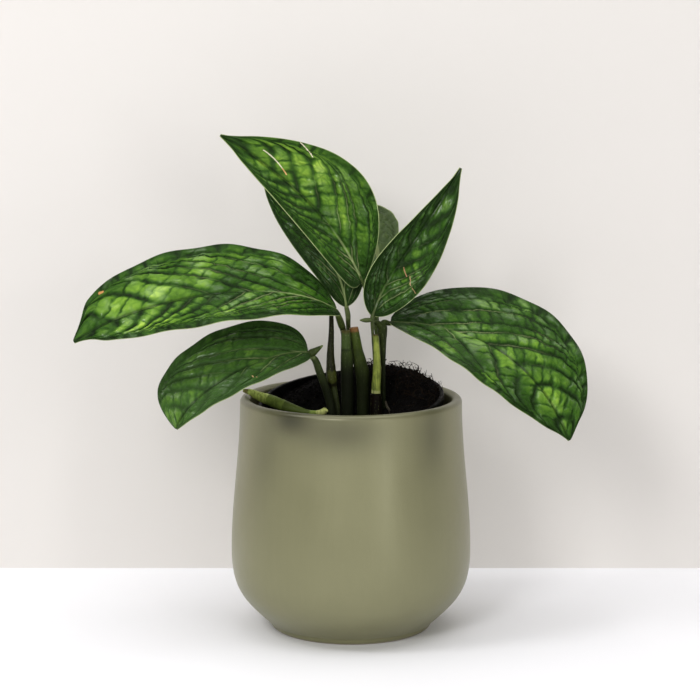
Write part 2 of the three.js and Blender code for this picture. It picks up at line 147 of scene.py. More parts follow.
def turned(name, profile, segments, place=Matrix.Identity(4)):
    """A round piece from a profile of radius and height, from the axis below, up the
    outside, down the inside and back to the axis."""
    rings = []
    for before, point in zip(profile, profile[1:-1]):
        if math.dist(before, point) > SAME_POINT:
            rings.append(circle(*point, segments))
    return between_rings(name, rings, (0, 0, profile[0][1]), (0, 0, profile[-1][1]), place)


class Field:
    """A number or a vector on its way through a node tree, so that a formula reads as one."""

    def __init__(self, socket):
        self.tree = socket.id_data
        self.socket = socket

    def is_vector(self):
        return self.socket.type in {"VECTOR", "RGBA"}

    def step(self, operation, *others):
        kind = "ShaderNodeVectorMath" if self.is_vector() else "ShaderNodeMath"
        node = self.tree.nodes.new(kind)
        node.operation = operation
        for socket, value in zip(node.inputs, (self, *others)):
            feed(socket, value)
        is_number = operation in {"DOT_PRODUCT", "LENGTH", "DISTANCE"}
        return Field(node.outputs["Value" if is_number or not self.is_vector() else "Vector"])

    def __add__(self, other):
        return self.step("ADD", other)

    __radd__ = __add__

    def __sub__(self, other):
        return self.step("SUBTRACT", other)

    def __rsub__(self, other):
        return (self * -1) + other

    def __mul__(self, other):
        if isinstance(other, Field) and other.is_vector() and not self.is_vector():
            return other * self
        is_scale = not isinstance(other, Field) or not other.is_vector()
        if self.is_vector() and is_scale and not isinstance(other, (tuple, Vector)):
            node = self.tree.nodes.new("ShaderNodeVectorMath")
            node.operation = "SCALE"
            feed(node.inputs[0], self)
            feed(node.inputs["Scale"], other)
            return Field(node.outputs["Vector"])
        return self.step("MULTIPLY", other)

    def __truediv__(self, other):
        return self.step("DIVIDE", other)

    def __pow__(self, other):
        return self.step("POWER", other)

    def least(self, other):
        return self.step("MINIMUM", other)

    def most(self, other):
        return self.step("MAXIMUM", other)

    def size(self):
        return self.step("LENGTH" if self.is_vector() else "ABSOLUTE")

    def parts(self):
        node = self.tree.nodes.new("ShaderNodeSeparateXYZ")
        feed(node.inputs[0], self)
        return [Field(output) for output in node.outputs]

    def rise(self, low, high, bottom=0.0, top=1.0):
        """A soft step from bottom to top as this goes from low to high."""
        node = self.tree.nodes.new("ShaderNodeMapRange")
        node.interpolation_type = "SMOOTHSTEP"
        for name, value in (("Value", self), ("From Min", low), ("From Max", high),
                            ("To Min", bottom), ("To Max", top)):
            feed(node.inputs[name], value)
        return Field(node.outputs["Result"])

    def towards(self, other, share):
        return self + (other - self) * share

    def tinted(self, colour, share):
        """This colour, mixed with another one by a share of it."""
        return mix_colours(self.tree, self, colour, share)


def feed(socket, value):
    if isinstance(value, Field):
        value.tree.links.new(value.socket, socket)
    elif socket.type == "RGBA":
        socket.default_value = (*value[:3], 1)
    elif socket.type == "VECTOR" and isinstance(value, (int, float)):
        socket.default_value = (value, value, value)
    else:
        socket.default_value = value


def vector_of(*parts):
    """A vector from three numbers, of which at least one is a field."""
    tree = next(part.tree for part in parts if isinstance(part, Field))
    node = tree.nodes.new("ShaderNodeCombineXYZ")
    for socket, value in zip(node.inputs, parts):
        feed(socket, value)
    return Field(node.outputs[0])


def noise(place, scale, detail=2.0, roughness=0.5):
    """Soft noise from 0 to 1 at a place."""
    node = place.tree.nodes.new("ShaderNodeTexNoise")
    feed(node.inputs["Vector"], place)
    feed(node.inputs["Scale"], scale)
    feed(node.inputs["Detail"], detail)
    feed(node.inputs["Roughness"], roughness)
    return Field(node.outputs[0])


def mix_colours(tree, first, second, share):
    node = tree.nodes.new("ShaderNodeMix")
    node.data_type = "RGBA"
    feed(node.inputs[0], share)
    feed(node.inputs[6], first)
    feed(node.inputs[7], second)
    return Field(node.outputs[2])


def new_material(name):
    """A material with its shader, and the place on the piece in millimetres."""
    material = bpy.data.materials.new(name)
    material.use_nodes = True
    tree = material.node_tree
    shader = tree.nodes["Principled BSDF"]
    place = tree.nodes.new("ShaderNodeTexCoord")
    return material, tree, shader, Field(place.outputs["Object"]) * (1 / MM)


def attribute(tree, name, output="Fac"):
    """What the points of a piece carry under a name."""
    node = tree.nodes.new("ShaderNodeAttribute")
    node.attribute_name = name
    return Field(node.outputs[output])


def dress(shader, **values):
    """Feeds the shader's sockets by name, an underscore standing for a space."""
    for key, value in values.items():
        feed(shader.inputs[key.replace("_", " ")], value)


def bump(shader, height, depth):
    """Fine relief from a height of 0 to 1, as deep as depth millimetres."""
    tree = shader.id_data
    node = tree.nodes.new("ShaderNodeBump")
    feed(node.inputs["Strength"], 1.0)
    feed(node.inputs["Distance"], depth * MM)
    feed(node.inputs["Height"], height)
    tree.links.new(node.outputs["Normal"], shader.inputs["Normal"])


def glaze_material():
    material, tree, shader, place = new_material("sage_glaze")
    height = place.parts()[2]
    cloud = noise(place, 0.035, 3.0)
    streak = noise(place * (1, 1, 0.12), 0.25, 3.0, 0.6)
    speck = noise(place, 2.2, 1.0).rise(0.70, 0.76)
    colour = mix_colours(tree, GLAZE_DARK, GLAZE_LIGHT, cloud * 0.6 + streak * 0.4)
    colour = colour.tinted(GLAZE_DARK, speck * 0.35)
    # Painted shade: darker glaze in spots under the lip and under the leaves.
    for centre, wide, share in GLAZE_SHADE_SPOTS:
        away = ((place - centre) / wide).size() ** 2
        colour = colour.tinted(srgb(GLAZE_SHADE_TONE), (away * -1).step("EXPONENT") * share)
    # Painted shade: the top of the lip is darkened, where the leaves above shade it.
    lip = height.rise(POT_HEIGHT - LIP_SHADE_BAND[0], POT_HEIGHT - LIP_SHADE_BAND[1])
    colour = colour.tinted(srgb(GLAZE_SHADE_TONE), lip * 0.35)
    foot = height.rise(*BARE_FOOT)
    colour = colour.tinted(BARE_CLAY, foot)
    roughness = (cloud.rise(0.2, 0.8, 0.34, 0.42) + streak * 0.04).most(foot * 0.9)
    dress(shader, Base_Color=colour, Roughness=roughness, Metallic=GLAZE_METALLIC,
          Coat_Weight=GLAZE_COAT, Coat_Roughness=GLAZE_COAT_ROUGHNESS)
    ripple = noise(place, 0.12, 2.0) * 0.7 + noise(place, 1.6, 2.0) * 0.3
    bump(shader, ripple, 0.25)
    return material


pot_foot = POT_FOOT_RADIUS + POT_FOOT_ROUND
pot_inner = POT_BELLY_RADIUS - POT_WALL
lip_round = POT_WALL / 2
lip_height = POT_HEIGHT - lip_round
mouth_inside = POT_MOUTH_RADIUS - POT_WALL
pot_profile = [(0, 0), *arc_run(POT_FOOT_RADIUS, POT_FOOT_ROUND, POT_FOOT_ROUND, -90, -10, 8)]
pot_profile += bezier_run([(pot_foot, POT_FOOT_ROUND), (pot_foot + POT_FLARE_OUT, POT_FLARE_HEIGHT),
                           (POT_BELLY_RADIUS, POT_BELLY_BELOW), (POT_BELLY_RADIUS, POT_BELLY_HEIGHT)], 30)
pot_profile += bezier_run([(POT_BELLY_RADIUS, POT_BELLY_HEIGHT), (POT_BELLY_RADIUS, POT_BELLY_ABOVE),
                           (POT_MOUTH_RADIUS, POT_NECK_HEIGHT), (POT_MOUTH_RADIUS, lip_height)], 36)
pot_profile += arc_run(POT_MOUTH_RADIUS - lip_round, lip_height, lip_round, 0, 180, 16)
pot_profile += bezier_run([(mouth_inside, lip_height), (mouth_inside, POT_NECK_HEIGHT),
                           (pot_inner, POT_BELLY_ABOVE), (pot_inner, POT_BELLY_HEIGHT)], 24)
pot_profile += bezier_run([(pot_inner, POT_BELLY_HEIGHT), (pot_inner, POT_BELLY_BELOW),
                           (pot_foot + POT_FLARE_OUT - POT_WALL, POT_FLOOR + POT_FLOOR_ROUND),
                           (pot_foot - POT_FLOOR_ROUND, POT_FLOOR)], 20)
pot_profile.append((0, POT_FLOOR))
glazed_pot = turned("glazed_pot", pot_profile, POT_SEGMENTS)
glazed_pot.data.materials.append(glaze_material())
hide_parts("cover_pot")
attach(glazed_pot, "root")


# Nursery pot
# A thin moulded pot of black polypropylene with a stepped rim and fine rings from its
# mould. It leans inside the cover pot, so its rim stands higher at the back and right.
NURSERY_RIM_RADIUS = 56
NURSERY_BASE_RADIUS = 35
NURSERY_DEPTH = 127
NURSERY_WALL = 1.2
NURSERY_LIP = 2.4
NURSERY_LIP_DEPTH = 5
NURSERY_LIP_BEVEL = 0.3
NURSERY_LIP_OUTER = 0.6
NURSERY_LIP_INNER = 0.5
NURSERY_BASE_BEVEL = 2
NURSERY_RIM_HEIGHT = 140.5
NURSERY_TILT_BACK = 8.2
NURSERY_TILT_RIGHT = 4.2
NURSERY_RINGS = 24
NURSERY_RING_DEPTH = 0.12


def nursery_place():
    right = Vector((1, 0, math.tan(math.radians(NURSERY_TILT_RIGHT)))).normalized()
    back = Vector((0, 1, math.tan(math.radians(NURSERY_TILT_BACK))))
    back = (back - right * back.dot(right)).normalized()
    place = Matrix((right, back, right.cross(back))).transposed().to_4x4()
    place.translation = (0, 0, NURSERY_RIM_HEIGHT)
    return place


def plastic_material():
    material, tree, shader, place = new_material("black_plastic")
    dust = noise(place, 0.09, 4.0, 0.6).rise(0.42, 0.72)
    grain = noise(place, 3.0, 2.0)
    colour = mix_colours(tree, srgb("040404"), srgb("0f0e0d"), dust * 0.6)
    dress(shader, Base_Color=colour, Roughness=dust.rise(0, 1, 0.38, 0.72),
          Specular_IOR_Level=0.05)
    bump(shader, grain, 0.06)
    return material


nursery_wall_top = NURSERY_RIM_RADIUS - NURSERY_LIP + NURSERY_WALL
nursery_floor = NURSERY_WALL - NURSERY_DEPTH
base_edge = NURSERY_BASE_RADIUS - NURSERY_BASE_BEVEL
wall_foot = (NURSERY_BASE_RADIUS, NURSERY_BASE_BEVEL - NURSERY_DEPTH)
nursery_profile = [(0, -NURSERY_DEPTH), (base_edge, -NURSERY_DEPTH), wall_foot]
for ring in range(1, NURSERY_RINGS * 4):
    share = ring / (NURSERY_RINGS * 4)
    groove = NURSERY_RING_DEPTH * (ring % 4 == 0)
    nursery_profile.append((NURSERY_BASE_RADIUS + (nursery_wall_top - NURSERY_BASE_RADIUS) * share - groove,
                            wall_foot[1] + (-NURSERY_LIP_DEPTH - wall_foot[1]) * share))
nursery_profile += [
    (nursery_wall_top, -NURSERY_LIP_DEPTH),
    (NURSERY_RIM_RADIUS - NURSERY_LIP_BEVEL, -NURSERY_LIP_DEPTH),
    (NURSERY_RIM_RADIUS, -NURSERY_LIP_DEPTH + NURSERY_LIP_BEVEL),
    *arc_run(NURSERY_RIM_RADIUS - NURSERY_LIP_OUTER, -NURSERY_LIP_OUTER, NURSERY_LIP_OUTER, 0, 90, 4),
    *arc_run(NURSERY_RIM_RADIUS - NURSERY_LIP + NURSERY_LIP_INNER, -NURSERY_LIP_INNER,
             NURSERY_LIP_INNER, 90, 180, 4),
    (nursery_wall_top - NURSERY_WALL, -NURSERY_LIP_DEPTH),
    (NURSERY_BASE_RADIUS - NURSERY_WALL, nursery_floor + NURSERY_BASE_BEVEL),
    (base_edge, nursery_floor),
    (0, nursery_floor),
]
nursery_matrix = nursery_place()
black_pot = turned("black_pot", nursery_profile, 144, nursery_matrix)
black_pot.data.materials.append(plastic_material())
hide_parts("nursery_pot")
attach(black_pot, "root")


# Potting mix
# Dark, moist peat and fine bark that fills the nursery pot, washed low round the stems and heaped against
# the back right; the peat's near-black is partly painted shade inside the pot. Crumbs, chips of bark and
# dry, curling fibres lie on it.
MIX_LEVEL = 13
MIX_UNEVEN = 0.6
MIX_WAVE_X = 0.31
MIX_WAVE_Y = 0.27
HEAP_HEIGHT = 20
HEAP_RADIUS = 42
HEAP_WIDTH = 14
HEAP_ANGLE = 48
HEAP_TURN = 75
MIX_RINGS = 84
MIX_GAP = 0.4
MIX_SIDE_RINGS = 7
MIX_SHOULDER_HEIGHT = -22
MIX_SHOULDER_SHARE = 0.86
MIX_OPEN_ABOVE = 112
MIX_SEGMENTS = 220
MIX_SEED = 11
MIX_CLOD_DEPTH = 1.5
MIX_GRAIN_DEPTH = 0.7
CRUMB_DENSITY = 380000
CRUMB_SIZES = (0.35, 1.25)
CHIP_DENSITY = 9000
CHIP_SIZES = (1.2, 2.6)
FIBRE_DENSITY = 90000
FIBRE_LENGTH = 8
FIBRE_RADIUS = 0.2
FIBRE_LINE = (146, 155)
FIBRE_LINE_SLOPE = 0.32
FIBRE_CURL = 15


def mix_height(x, y):
    """The mix's level in the nursery pot's frame: a flat fill, and a bank of mix along the
    back right with its crest at HEAP_RADIUS, centred on HEAP_ANGLE degrees."""
    across = (math.hypot(x, y) - HEAP_RADIUS) / HEAP_WIDTH
    turn = (math.degrees(math.atan2(y, x)) - HEAP_ANGLE + 180) % 360 - 180
    bank = math.exp(-(across ** 2 + (turn / HEAP_TURN) ** 2) / 2)
    uneven = MIX_UNEVEN * math.sin(MIX_WAVE_X * x + MIX_WAVE_Y / 2 * y)
    uneven *= math.cos(MIX_WAVE_Y * y - MIX_WAVE_X / 2 * x)
    return -MIX_LEVEL + HEAP_HEIGHT * bank + uneven


def mix_plug():
    """The root ball in the nursery pot, fine on top and plain where the pot hides it."""
    top = NURSERY_RIM_RADIUS - NURSERY_LIP - MIX_GAP
    base = NURSERY_BASE_RADIUS - 2 * NURSERY_WALL
    bottom = NURSERY_WALL + MIX_GAP - NURSERY_DEPTH
    rings = []
    for step in range(MIX_SIDE_RINGS):
        share = step / (MIX_SIDE_RINGS - 1)
        rings.append(circle(base + (top - base) * share * MIX_SHOULDER_SHARE,
                            bottom + (MIX_SHOULDER_HEIGHT - bottom) * share, MIX_SEGMENTS))
    for ring in range(MIX_RINGS):
        rings.append([])
        for x, y, _ in circle(top * (1 - ring / MIX_RINGS), 0, MIX_SEGMENTS):
            z = mix_height(x, y)
            slack = min(0, z + NURSERY_LIP_DEPTH) / (NURSERY_DEPTH - NURSERY_LIP_DEPTH)
            narrowed = 1 + slack * (top - base) / top
            rings[-1].append((x * narrowed, y * narrowed, z))
    return between_rings("mix_surface", rings, (0, 0, bottom), (0, 0, mix_height(0, 0)), nursery_matrix)


class Builder:
    """A Geometry Nodes tree with named inputs, and the nodes that are added to it."""

    def __init__(self, name, inputs):
        self.tree = bpy.data.node_groups.new(name, "GeometryNodeTree")
        self.tree.interface.new_socket("Mesh", in_out="INPUT", socket_type="NodeSocketGeometry")
        self.tree.interface.new_socket("Mesh", in_out="OUTPUT", socket_type="NodeSocketGeometry")
        self.keys = {}
        for label, kind in inputs.items():
            socket = self.tree.interface.new_socket(label, in_out="INPUT", socket_type="NodeSocket" + kind)
            self.keys[label] = socket.identifier
        self.inputs = self.tree.nodes.new("NodeGroupInput")
        self.start = self.inputs.outputs["Mesh"]

    def given(self, label):
        return Field(self.inputs.outputs[label])

    def add(self, kind, settings=None, **sockets):
        """A node, with its sockets fed by name, an underscore standing for a space."""
        node = self.tree.nodes.new(kind)
        for key, value in (settings or {}).items():
            setattr(node, key, value)
        for key, value in sockets.items():
            name = key.replace("_", " ")
            usable = [s for s in node.inputs if s.name == name and s.enabled]
            if isinstance(value, bpy.types.NodeSocket):
                self.tree.links.new(value, usable[0])
            else:
                feed(usable[0], value)
        return node

    def field(self, kind, output=0, settings=None, **sockets):
        node = self.add(kind, settings, **sockets)
        usable = [s for s in node.outputs if s.enabled]
        return Field(node.outputs[output] if isinstance(output, str) else usable[output])

    def position(self):
        return self.field("GeometryNodeInputPosition")

    def place(self):
        """The position in millimetres."""
        return self.position() * (1 / MM)

    def normal(self):
        return self.field("GeometryNodeInputNormal")

    def chance(self, seed, low=0.0, high=1.0):
        """A random number or, between two triples, a random vector."""
        kind = "FLOAT_VECTOR" if isinstance(high, tuple) else "FLOAT"
        return self.field("FunctionNodeRandomValue", settings={"data_type": kind},
                          Min=low, Max=high, Seed=seed)

    def keep(self, mesh, name, value, domain="POINT"):
        """Keeps a value on the mesh's points or instances, for later or for the material."""
        kind = "FLOAT_VECTOR" if value.is_vector() else "FLOAT"
        settings = {"data_type": kind, "domain": domain}
        return self.add("GeometryNodeStoreNamedAttribute", settings,
                        Geometry=mesh, Name=name, Value=value).outputs[0]

    def kept(self, name, kind="FLOAT"):
        return self.field("GeometryNodeInputNamedAttribute", settings={"data_type": kind}, Name=name)

    def moved(self, mesh, offset):
        return self.add("GeometryNodeSetPosition", Geometry=mesh, Offset=offset).outputs[0]

    def realized(self, mesh):
        return self.add("GeometryNodeRealizeInstances", Geometry=mesh).outputs[0]

    def coated(self, mesh, material):
        return self.add("GeometryNodeSetMaterial", Geometry=mesh, Material=material).outputs[0]

    def close(self, mesh):
        out = self.tree.nodes.new("NodeGroupOutput")
        self.tree.links.new(mesh, out.inputs["Mesh"])


def grown(name, start, builder, values):
    """The plain mesh that a tree makes from an object, as a new object."""
    modifier = start.modifiers.new("grow", "NODES")
    modifier.node_group = builder.tree
    for label, value in values.items():
        modifier[builder.keys[label]] = value
    bpy.context.view_layer.update()
    graph = bpy.context.evaluated_depsgraph_get()
    mesh = bpy.data.meshes.new_from_object(start.evaluated_get(graph), depsgraph=graph)
    mesh.name = name
    start.modifiers.clear()
    piece = bpy.data.objects.new(name, mesh)
    scene.collection.objects.link(piece)
    return piece


def clod_tree():
    """Presses the mix's smooth top into clods and grains."""
    build = Builder("mix_clods", {"Clod Depth": "Float", "Grain Depth": "Float", "Material": "Material"})
    place = build.place()
    clods = noise(place, 0.22, 4.0, 0.62) - 0.5
    grains = noise(place, 0.9, 3.0, 0.7) - 0.5
    open_top = place.parts()[2].rise(MIX_OPEN_ABOVE - 4, MIX_OPEN_ABOVE + 4)
    relief = (clods * build.given("Clod Depth") + grains * build.given("Grain Depth")) * open_top * MM
    mesh = build.moved(build.start, build.normal() * relief)
    build.close(build.coated(build.realized(mesh), build.given("Material")))
    return build


def crumb_tree():
    """Scatters broken crumbs over the top of the mix."""
    inputs = {"Density": "Float", "Smallest": "Float", "Largest": "Float", "Flatness": "Float",
              "Seed": "Int", "Material": "Material"}
    build = Builder("mix_crumbs", inputs)
    seed = build.given("Seed")
    height = build.place().parts()[2]
    open_top = build.normal().parts()[2].step("GREATER_THAN", 0.2)
    open_top = open_top * height.step("GREATER_THAN", MIX_OPEN_ABOVE)
    scatter = build.add("GeometryNodeDistributePointsOnFaces", Mesh=build.start,
                        Selection=open_top, Density=build.given("Density"), Seed=seed)
    lump = build.add("GeometryNodeMeshIcoSphere", Radius=1.0, Subdivisions=1).outputs[0]
    turn = build.chance(seed, (0, 0, 0), (6.28, 6.28, 6.28))
    smallest = build.given("Smallest")
    size = smallest.towards(build.given("Largest"), build.chance(seed + 1) ** 2.5) * MM
    shape = build.chance(seed + 2, (0.6, 0.6, 0.6), (1.3, 1.1, 0.9))
    shape = shape * vector_of(1.0, build.given("Flatness"), build.given("Flatness"))
    placed = build.add("GeometryNodeInstanceOnPoints", Points=scatter.outputs["Points"], Instance=lump,
                       Rotation=turn, Scale=shape * size).outputs[0]
    real = build.realized(build.keep(placed, "tone", build.chance(seed + 3), "INSTANCE"))
    rough = noise(build.place(), 1.1, 2.0) - 0.5
    broken = build.moved(real, build.normal() * rough * smallest * (1.3 * MM))
    build.close(build.coated(build.realized(broken), build.given("Material")))
    return build


def fibre_tree():
    """Lays thin fibres on the mix that curl up at their ends."""
    inputs = {"Density": "Float", "Length": "Float", "Radius": "Float", "Seed": "Int",
              "Material": "Material"}
    build = Builder("mix_fibres", inputs)
    seed = build.given("Seed")
    up = build.normal().parts()[2]
    x, _, z = build.place().parts()
    on_heap = up.step("GREATER_THAN", 0.2) * (z + x * FIBRE_LINE_SLOPE).rise(*FIBRE_LINE)
    scatter = build.add("GeometryNodeDistributePointsOnFaces", Mesh=build.start,
                        Density=build.given("Density") * on_heap ** 2, Seed=seed)
    hair = build.add("GeometryNodeCurvePrimitiveLine", Start=(-0.5, 0, 0), End=(0.5, 0, 0)).outputs[0]
    hair = build.add("GeometryNodeResampleCurve", Curve=hair, Count=16).outputs[0]
    turn = build.chance(seed, (0, -1.0, 0), (0, 1.0, 6.28))
    length = build.given("Length") * build.chance(seed + 1, 0.35, 1.0) * MM
    placed = build.add("GeometryNodeInstanceOnPoints", Points=scatter.outputs["Points"], Instance=hair,
                       Rotation=turn, Scale=length).outputs[0]
    number = build.field("GeometryNodeInputIndex")
    real = build.realized(build.keep(placed, "tone", number, "INSTANCE"))
    wander = build.add("ShaderNodeTexNoise", {"noise_dimensions": "4D"}, Vector=build.place(),
                       W=build.kept("tone") * 3.7, Scale=0.21, Detail=1.0)
    curl = Field(wander.outputs["Color"]) - (0.5, 0.5, 0.42)
    bent = build.moved(real, curl * (FIBRE_CURL * MM))
    section = build.add("GeometryNodeCurvePrimitiveCircle", Resolution=4, Radius=1.0).outputs[0]
    along = build.field("GeometryNodeSplineParameter")
    thin = build.given("Radius") * MM * along.rise(0, 0.3, 0.4, 1.0) * along.rise(1, 0.7, 0.3, 1.0)
    mesh = build.add("GeometryNodeCurveToMesh", Curve=bent, Profile_Curve=section, Scale=thin,
                     Fill_Caps=True).outputs[0]
    build.close(build.coated(build.realized(mesh), build.given("Material")))
    return build


def mix_material(name, dark, light, pale_share):
    material, tree, shader, place = new_material(name)
    shade = noise(place, 0.35, 4.0, 0.65)
    mixed = shade * 0.6 + attribute(tree, "tone") * 0.4
    colour = mix_colours(tree, srgb(dark), srgb(light), mixed.rise(0.25, 0.85))
    pale = noise(place, 0.8, 2.0).rise(0.66, 0.74)
    colour = colour.tinted(srgb("6b5a44"), pale * pale_share)
    dress(shader, Base_Color=colour, Roughness=shade.rise(0.2, 0.8, 0.8, 0.98),
          Specular_IOR_Level=0.06)
    bump(shader, noise(place, 2.6, 3.0, 0.7), 0.3)
    return material


# The peat's colours are partly its own dark brown and partly painted shade from the pot's rim and the
# leaves.
peat = mix_material("peat", "030202", "0c0906", 0.04)
bark = mix_material("bark", "070504", "18110b", 0.1)
fibre = mix_material("fibre", "080603", "1c140d", 0.08)
mix_start = mix_plug()
clods = clod_tree()
mix_surface = grown("mix", mix_start, clods, {
    "Clod Depth": MIX_CLOD_DEPTH, "Grain Depth": MIX_GRAIN_DEPTH, "Material": peat})
crumbs = crumb_tree()
mix_crumbs = grown("mix_crumbs", mix_surface, crumbs, {
    "Density": CRUMB_DENSITY, "Smallest": CRUMB_SIZES[0], "Largest": CRUMB_SIZES[1],
    "Flatness": 0.9, "Seed": MIX_SEED, "Material": peat})
mix_chips = grown("bark_chips", mix_surface, crumbs, {
    "Density": CHIP_DENSITY, "Smallest": CHIP_SIZES[0], "Largest": CHIP_SIZES[1],
    "Flatness": 0.45, "Seed": MIX_SEED + 7, "Material": bark})
mix_fibres = grown("mix_fibres", mix_surface, fibre_tree(), {
    "Density": FIBRE_DENSITY, "Length": FIBRE_LENGTH, "Radius": FIBRE_RADIUS,
    "Seed": MIX_SEED + 3, "Material": fibre})
bpy.data.objects.remove(mix_start)
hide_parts("potting_mix")
for piece in (mix_surface, mix_crumbs, mix_chips, mix_fibres):
    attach(piece, "root")


# Leaf stalks and stems
# Smooth, solid green stems that rise from the mix, each leaf stalk running on into the
# underside of its blade. The thick ones are cut back, with dried brown ends and old scars.
# Where each leaf stalk meets its blade: the first two points of the blade's midrib and the
# way that its base faces, both as in LEAVES, and how far below it the stalk runs.
LEAF_BASES = {
    "stalk_top": ((7, 5, 210), (-8, 15, 244), (-0.45, -0.65, 0.6), 0.4),
    "stalk_behind_top": ((-3, 14, 194), (-6, 26, 227), (-0.2, -0.9, 0.45), 0.4),
    "stalk_far_side": ((6, 48, 250), (9, 61, 240), (0.2, 0.45, 0.85), 1.6),
    "stalk_upright": ((13, -10, 192), (20, -4, 216), (0.05, -0.95, 0.25), 0.4),
    "stalk_long": ((-8, -5, 195), (-40, -27, 221), (-0.1, -0.45, 0.9), 0.4),
    "stalk_low": ((-25, -14, 171), (-50, -30, 177), (-0.1, -0.7, 0.7), 0.9),
    "stalk_large": ((23, 1, 187), (84, -11, 189), (0.3, -0.45, 0.85), 0.4),
}
# The points of each centre line, with the radius there as the fourth number.
STEM_ROUTES = {
    "stalk_top": [(16.4, 11, 118, 1.9), (16.6, 11, 137, 1.8), (17, 12.3, 155, 1.7),
                  (16.2, 13, 174, 1.6), (14.2, 12.5, 190, 1.5), (10.6, 8.5, 202, 1.5)],
    "stalk_behind_top": [(0.6, 9.5, 118, 1.9), (0.6, 9.5, 129, 1.8), (0.2, 9.8, 150, 1.6),
                         (-0.6, 10.5, 168, 1.5), (-1.6, 12, 183, 1.4), (-1.8, 12.8, 189, 1.6)],
    "stalk_far_side": [(18, 17.5, 119, 2), (17.7, 17.5, 142, 1.9), (17, 18, 167, 1.7),
                       (15.2, 20.5, 187, 1.7), (12.3, 28, 212, 1.6), (8.8, 37.5, 234, 1.5)],
    "stalk_upright": [(15.4, 4, 119, 1.3), (15.3, 4, 145, 1.2), (14.3, 3, 163, 1.1),
                      (13.1, -1.5, 179, 0.9), (12.8, -6, 186, 1.1)],
    "stalk_long": [(-1.8, 5, 118, 1.9), (-1.8, 5, 130, 1.8), (-2.4, 5, 150, 1.7),
                   (-3.2, 4.6, 170, 1.7), (-4.7, 3, 181, 1.8), (-5.7, 1.5, 184.6, 2.1),
                   (-7, -0.6, 188.7, 2)],
    "stalk_low": [(-10.8, -12, 118, 2.4), (-12.2, -11.5, 136, 2.4), (-14.2, -11.5, 145, 2.4),
                  (-16.6, -12, 152.5, 2.4), (-19.1, -12.3, 159.5, 2.3), (-21.6, -12.8, 166, 2)],
    "stalk_large": [(19.9, 1.5, 119, 1.4), (19.5, 1.5, 148, 1.3), (19.4, 1.5, 161.5, 1.4),
                    (19.2, 1.5, 174.5, 2.1), (19.1, 1.5, 178.5, 2.6), (18.9, 1.5, 182.5, 3),
                    (19.8, 1.4, 186, 2.1)],
    "stem_with_node": [(-8.2, -5.6, 118, 2.2), (-8.4, -5.4, 134, 2), (-9.7, -4.8, 143, 2),
                       (-10.6, -4.3, 147.8, 2.1), (-11.2, -4.1, 150, 2.9), (-11.7, -4, 153.4, 3.2),
                       (-12, -3.4, 159, 2.9), (-12.3, -2.4, 165.3, 2.4), (-12.2, -1, 171.5, 2),
                       (-11.8, 1, 181, 1.6), (-11.9, 3, 197, 1.2)],
    "cut_stem_left": [(-2.3, -2.2, 118, 3.5), (-2.3, -2.2, 131, 3.6), (-2.4, -2.2, 152, 3.8),
                      (-2.5, -2.2, 165, 3.7), (-2.9, -2.2, 172, 3.1), (-3.2, -2.2, 182, 2.7)],
    "cut_stem_right": [(7.3, 2.6, 118, 3.6), (7.2, 2.6, 131, 3.7), (7.3, 2.6, 145, 4),
                       (6.9, 2.6, 154.5, 4.4), (5.4, 2.6, 161.5, 4.1), (3.8, 2.6, 169.5, 3.3),
                       (2.5, 2.6, 177, 3.1), (1.6, 2.6, 183, 2.7)],
    "cut_sheath": [(14.9, -5, 144.4, 2.9), (15.2, -5, 150, 2.7), (15.6, -5, 158, 2.5),
                   (15.5, -5.2, 169, 2), (14.6, -5.5, 180, 1.7)],
    "old_stem_foot": [(15.2, -4.8, 118, 3.7), (15.2, -4.8, 132, 3.8), (15, -5, 143.5, 3.4)],
    "thin_root": [(25.4, -15.5, 122, 0.7), (24.6, -12.5, 130, 0.7), (23, -8.5, 134.4, 0.7),
                  (21.6, -5, 136.4, 0.7), (20.9, -3.4, 139, 0.6)],
    "fallen_stalk": [(-65.2, 2.5, 144.5, 1), (-61, 1.8, 143.7, 1.9), (-56, 0.5, 141.6, 2.7),
                     (-48, -3, 139.2, 3.5), (-41, -6, 137, 3.4), (-33, -9, 134.9, 2.6),
                     (-26.5, -11, 133.9, 1.5), (-20.5, -13.5, 133.9, 1.4),
                     (-16.6, -15.6, 134.9, 2), (-15.2, -16.4, 136.4, 1.7)],
}
STALK_EARS = {
    "stalk_large": [(12.9, -4.4, 187.6, 0.8), (15.4, -2.6, 186.6, 1.7), (17.6, -0.4, 184.6, 2.3),
                    (18.9, 1.2, 181, 2.0)],
    "stalk_upright": [(12.6, -7.2, 188.0, 0.9), (12.3, -8.6, 189.2, 1.1), (9, -10, 189.3, 1.4),
                      (5.4, -12, 189.6, 0.4)],
    "stalk_low": [(-26, -13.6, 169.6, 1.6), (-23.6, -13.2, 169.9, 2.5), (-20.4, -13.6, 172, 1.7),
                  (-16.8, -14, 174.7, 0.4)],
}
STEM_SIDES = 20
STEM_STEP = 0.7
STEM_RIDGES = 0.05
STEM_LUMPS = 0.22
STEM_SEED_STEP = 13.0
STALK_REACH = 5
STALK_DEPTHS = (1.0, 1.5)
STALK_END_RADII = (1.35, 0.8)
